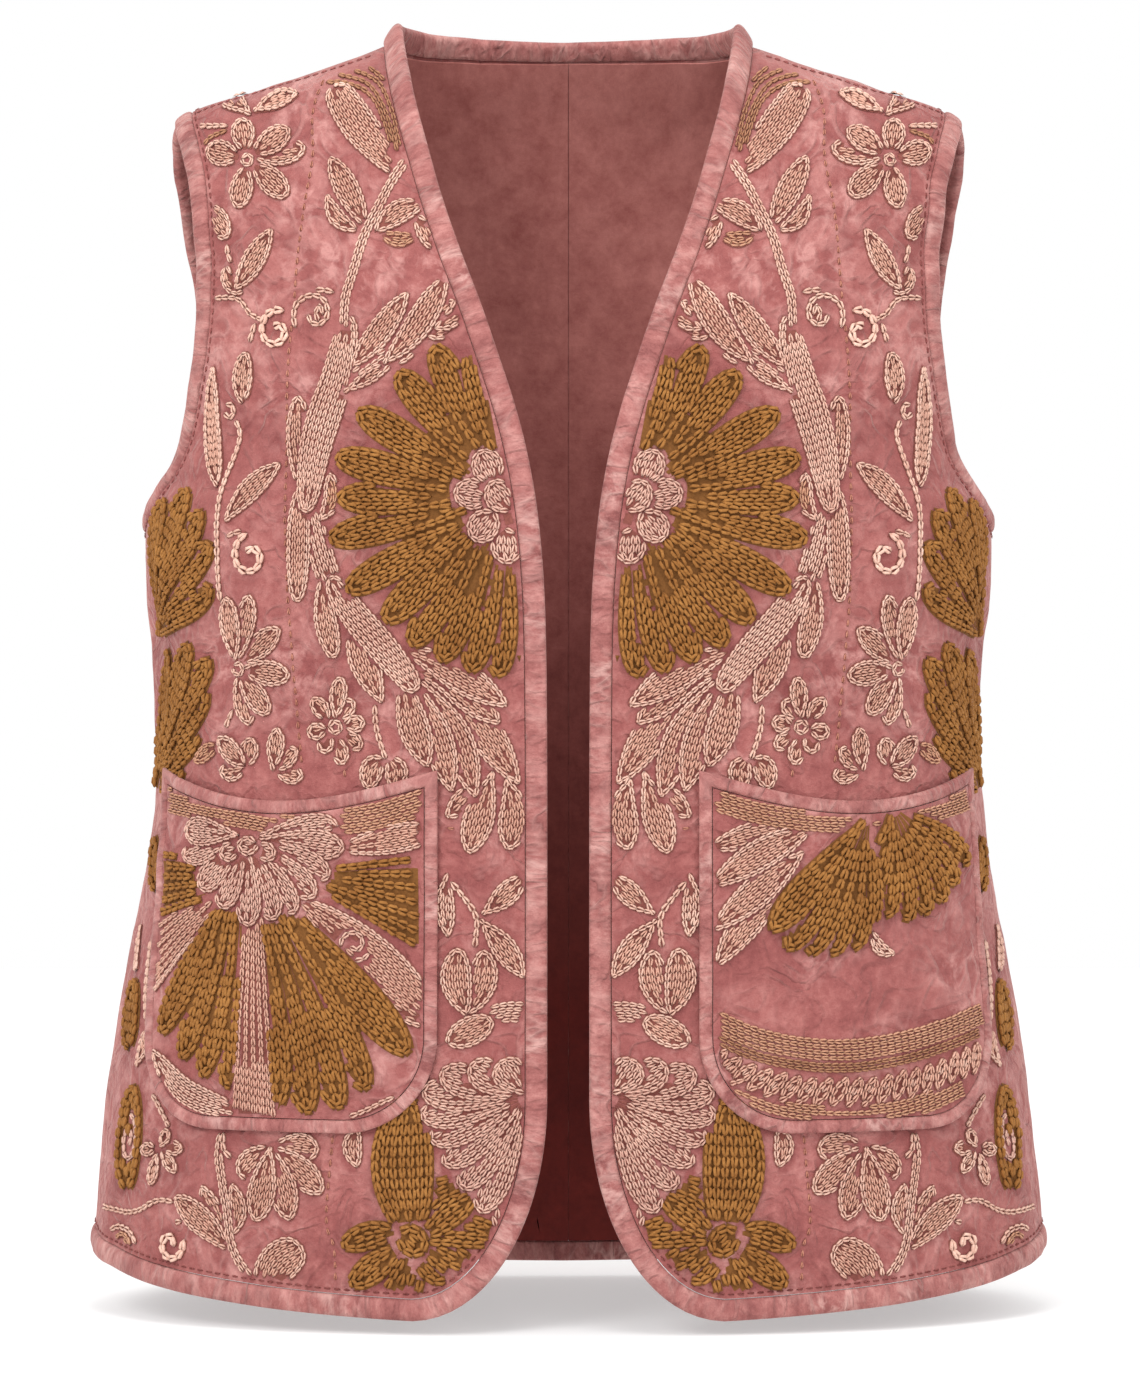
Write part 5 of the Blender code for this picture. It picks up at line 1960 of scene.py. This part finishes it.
def link_solids(pairs_of_places, gauge):
    """Flat places, lifts and triangles of all links."""
    start, end = pairs_of_places[:, 0], pairs_of_places[:, 1]
    along = end - start
    side = unit(np.stack([-along[:, 1], along[:, 0]], axis=-1)) * gauge
    chance = np.random.default_rng(len(start)).uniform(-1, 1, (2, 2, len(start)))
    turns = THICK_RING if gauge > THICK_GAUGE else FINE_RING
    flat, lift = [], []
    for way, (bow_chance, lift_chance) in zip((-1, 1), chance):
        bow = (way * BOW * (1 + UNEVEN_BOW * bow_chance))[:, None]
        rise = LINK_LIFT * gauge * (1 + UNEVEN_LIFT * lift_chance)
        first, low, high, last = STRAND
        flat.append(start + along * first.along)
        lift.append(rise * first.lift)
        for station in (low, high):
            middle = start + along * station.along + side * bow * station.bow
            for turn in turns:
                flat.append(middle + side * (THREAD * math.cos(turn)))
                lift.append(rise * station.lift + gauge * THREAD * math.sin(turn))
        flat.append(start + along * last.along + side * bow * last.bow)
        lift.append(rise * last.lift)
    faces = np.concatenate([strand_faces(0, len(turns)), strand_faces(2 * len(turns) + 2, len(turns))])
    return np.stack(flat, axis=1), np.stack(lift, axis=1), faces


# A low ridge under each link, coloured later as painted shade between the loops.
def roof_solids(pairs_of_places, gauge):
    start, end = pairs_of_places[:, 0], pairs_of_places[:, 1]
    along = unit(end - start)
    side = np.stack([-along[:, 1], along[:, 0]], axis=-1) * gauge
    flat, lift = [], []
    for place in (start - along * ROOF_OVERLAP, end + along * ROOF_OVERLAP):
        ridge = (0, ROOF_TOP * gauge)
        for across, height in ((-ROOF_HALF, ROOF_EDGE), ridge, (ROOF_HALF, ROOF_EDGE)):
            flat.append(place + side * across)
            lift.append(np.full(len(start), height))
    faces = np.array([(0, 1, 4), (0, 4, 3), (1, 2, 5), (1, 5, 4)])
    return np.stack(flat, axis=1), np.stack(lift, axis=1), faces


def thread_mesh(name, pieces, materials):
    """One mesh from (points, faces, turned) groups: first the thread, then what lies under it, which
    takes the second material, painted shade.
    """
    all_points, all_faces, kinds, first = [], [], [], 0
    for number, (points, faces, turned) in enumerate(pieces):
        kinds.append(np.full(len(points) * len(faces), min(number, 1), dtype=np.int32))
        count, each = points.shape[:2]
        order = faces[:, ::-1] if turned else faces
        all_points.append(points.reshape(-1, 3))
        starts = first + np.arange(count) * each
        all_faces.append((order[None] + starts[:, None, None]).reshape(-1, 3))
        first += count * each
    points, faces = np.concatenate(all_points), np.concatenate(all_faces)
    mesh = bpy.data.meshes.new(name)
    mesh.vertices.add(len(points))
    mesh.vertices.foreach_set("co", points.astype(np.float32).ravel())
    mesh.loops.add(faces.size)
    mesh.loops.foreach_set("vertex_index", faces.astype(np.int32).ravel())
    mesh.polygons.add(len(faces))
    mesh.polygons.foreach_set("loop_start", np.arange(0, faces.size, 3, dtype=np.int32))
    for material in materials:
        mesh.materials.append(material)
    mesh.polygons.foreach_set("material_index", np.concatenate(kinds))
    mesh.update()
    mesh.shade_smooth()
    return linked(name, mesh)


# %% [markdown]
# Each colour has two materials: the thread itself, and a darker copy of it for the roof and the ground
# under it, painted shade where the loops shade each other.

# %% Thread colours
BROAD = Noise(70.0, 2.0)
FIBRES = Noise(900.0, 2.0, 0.6)
TWIST = Noise(2600.0, 2.0, 0.7)


def thread(name, low, high, sheen=0.25):
    """Soft cotton: a slight change of tone along the rows, and fine twisted fibres."""
    material = new_material("thread_" + name)
    tree = material.node_tree
    place = tree.nodes.new("ShaderNodeTexCoord").outputs["Object"]
    broad = noise(tree, place, BROAD)
    fine = noise(tree, place, FIBRES)
    value = maths(tree, "MULTIPLY_ADD", fine, 0.6, maths(tree, "MULTIPLY", broad, 0.5))
    colour = ramp(tree, value, (0.35, low), (0.75, high))
    twist = noise(tree, place, TWIST)
    finish_shader(material, colour, 0.85, twist, 0.0002, sheen, 0.5, high)
    return material


SHADE_LOW, SHADE_HIGH = linear(104, 54, 48), linear(140, 82, 72)


def thread_pair(name, low, high, painted_shade_low=SHADE_LOW, painted_shade_high=SHADE_HIGH):
    """The thread itself, and a darker copy of it that paints the shade on the cloth and thread between
    the loops.
    """
    return thread(name, low, high), thread(name + "_painted_shade", painted_shade_low, painted_shade_high, 0.1)


# Each colour's second material is painted shade for the roof and ground under its loops; brown's is
# given in full.
THREADS = {
    "brown": thread_pair(
        "brown", linear(120, 73, 29), linear(166, 114, 58), linear(100, 62, 26), linear(130, 85, 41)
    ),
    "clay": thread_pair("clay", linear(207, 157, 139), linear(235, 200, 182)),
    "blush": thread_pair("blush", linear(193, 141, 122), linear(225, 180, 160)),
    "pink": thread_pair("pink", linear(199, 151, 136), linear(229, 190, 172)),
    "tan": thread_pair("tan", linear(182, 131, 103), linear(213, 164, 136)),
    "braid": thread_pair("braid", linear(152, 104, 76), linear(190, 140, 110)),
    "dash": thread_pair("dash", linear(168, 104, 86), linear(206, 146, 124)),
    "seam": thread_pair("seam", linear(122, 60, 58), linear(164, 98, 94)),
}
THREADS["cord"] = THREADS["rope"] = THREADS["clay"]


def ground_solids(places, lifts):
    return places, lifts, np.array([(0, 1, 2), (0, 2, 3)])


def embroider(name, worked, side, base=0.0, from_back=False):
    """The thread meshes of one worked cloth."""
    made = []
    turned = (side < 0) != from_back
    for colour, done in worked.items():
        if not len(done.links):
            continue
        # The links take the thread; the roofs and grounds after them take its darker pair, painted
        # shade.
        parts = [solids(done.links, GAUGE[colour]) for solids in (link_solids, roof_solids)]
        parts = [(flat, lift + done.raised[:, None], faces) for flat, lift, faces in parts]
        if len(done.grounds):
            parts.append(ground_solids(done.grounds, done.ground_lifts))
        groups = []
        for flat, lift, faces in parts:
            groups.append((on_cloth(flat, lift + base, side, from_back), faces, turned))
        made.append(thread_mesh(f"{name}_{colour}", groups, THREADS[colour]))
    return made


threads = []
for word, side in SIDES:
    threads += embroider("stitch_front_" + word, worked_front, side)
    threads += embroider("stitch_pocket_" + word, worked_pocket[word], side, POCKET_LIFT + POCKET_WALL)
    threads += embroider("stitch_back_" + word, worked_back, side, from_back=True)
counts = {piece.name: len(piece.data.polygons) for piece in threads}
print("thread triangles", sum(counts.values()), "largest", max(counts, key=counts.get))

# %% [markdown]
# ## Stage, light and camera
#
# The garment was photographed alone on white, standing on its hem, with a soft shadow under it. The
# camera is level, at the height of the garment's middle.

# %% Stage, lights and camera
FLOOR_Z = -0.6120
WORLD_LIGHT = 1.0
FRAME_HEIGHT = 0.6624
SENSOR = 36.0
FLOOR_SIZE = 6
PAPER_GREY = 0.6
PAPER_GLOW = 0.42
PAPER_ROUGHNESS = 0.9
Lamp = namedtuple("Lamp", "name place size power")
LAMPS = (
    Lamp("key", (-1.1, -1.9, 1.0), 1.1, 25.5),
    Lamp("fill", (1.5, -1.5, 0.3), 1.8, 8.6),
    Lamp("top", (0.0, -0.9, 1.3), 0.8, 10),
    Lamp("low", (0.0, -2.4, -0.75), 1.2, 5.8),
)


def make_stage():
    """A pale floor that glows a little, so that it fades into the world's white."""
    bpy.ops.object.select_all(action="DESELECT")
    bpy.ops.mesh.primitive_plane_add(size=FLOOR_SIZE, location=(0, 0, FLOOR_Z))
    floor = bpy.context.object
    floor.name = "floor"
    bpy.ops.object.transform_apply(location=True, rotation=False, scale=False)
    material = new_material("paper")
    shader = material.node_tree.nodes["Principled BSDF"]
    shader.inputs["Base Color"].default_value = (PAPER_GREY, PAPER_GREY, PAPER_GREY, 1)
    shader.inputs["Emission Color"].default_value = (1, 1, 1, 1)
    shader.inputs["Emission Strength"].default_value = PAPER_GLOW
    shader.inputs["Roughness"].default_value = PAPER_ROUGHNESS
    floor.data.materials.append(material)


def soft_light(name, place, size, power):
    data = bpy.data.lights.new(name, "AREA")
    data.shape, data.size, data.energy = "DISK", size, power
    lamp = bpy.data.objects.new(name, data)
    lamp.location = place
    aim = mathutils.Vector((0, 0, CAMERA_Z)) - lamp.location
    lamp.rotation_euler = aim.to_track_quat("-Z", "Y").to_euler()
    bpy.context.scene.collection.objects.link(lamp)
    return lamp


def make_world():
    world = bpy.data.worlds.new("pale")
    world.use_nodes = True
    world.node_tree.nodes["Background"].inputs["Color"].default_value = (1, 1, 1, 1)
    world.node_tree.nodes["Background"].inputs["Strength"].default_value = WORLD_LIGHT
    bpy.context.scene.world = world
    bpy.context.scene.view_settings.view_transform = "Standard"


def make_camera():
    data = bpy.data.cameras.new("camera")
    data.sensor_width = SENSOR
    data.lens = SENSOR * CAMERA_DISTANCE / FRAME_HEIGHT
    camera = bpy.data.objects.new("camera", data)
    camera.location = (CAMERA_X, -CAMERA_DISTANCE, CAMERA_Z)
    camera.rotation_euler = (QUARTER, 0, 0)
    bpy.context.scene.collection.objects.link(camera)
    bpy.context.scene.camera = camera


make_stage()
make_world()
make_camera()
lamps = [soft_light(*lamp) for lamp in LAMPS]
print("lights", [lamp.name for lamp in lamps])

# %% [markdown]
# ## What rides on what, and the panels' sizes
#
# The waistcoat has no joints, so all of it rides on the root body. Each panel's flat width and length,
# read from its UV map, and its area are printed.

# %% Rides and panel sizes
for piece in list(HOME.objects):
    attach(piece, "root")


def surface(piece):
    """The piece's whole area, for a closed cloth twice its flat area."""
    corners = np.empty(len(piece.data.polygons))
    piece.data.polygons.foreach_get("area", corners)
    return float(corners.sum())


def spread(piece):
    """The flat width and length of a panel's UV map."""
    places = np.empty(2 * len(piece.data.loops), dtype=np.float32)
    piece.data.uv_layers["flat"].uv.foreach_get("vector", places)
    places = places.reshape(-1, 2)
    width, length = places.max(axis=0) - places.min(axis=0)
    return float(width), float(length)


def declare(piece, flat, area, *along_with):
    """Prints a panel's flat width, length and area; the names of what is sewn on it are not used."""
    width, length = spread(piece)
    print("sheet", piece.name, round(width, 4), round(length, 4), "area", round(surface(piece) / 2, 5))


for word, _ in SIDES:
    sewn = "stitch_front_" + word, "roll_front_" + word, "roll_armhole_" + word
    declare(fronts[word], (0.266, 0.587), 0.117, *sewn)
    declare(pockets[word], (0.142, 0.152), 0.0208, "stitch_pocket_" + word, "roll_pocket_" + word)
declare(back, (0.574, 0.586), 0.289, "stitch_back_", "roll_hem_back", "roll_neck_back")
for half in linings:
    declare(half, (0.287, 0.586), 0.143)
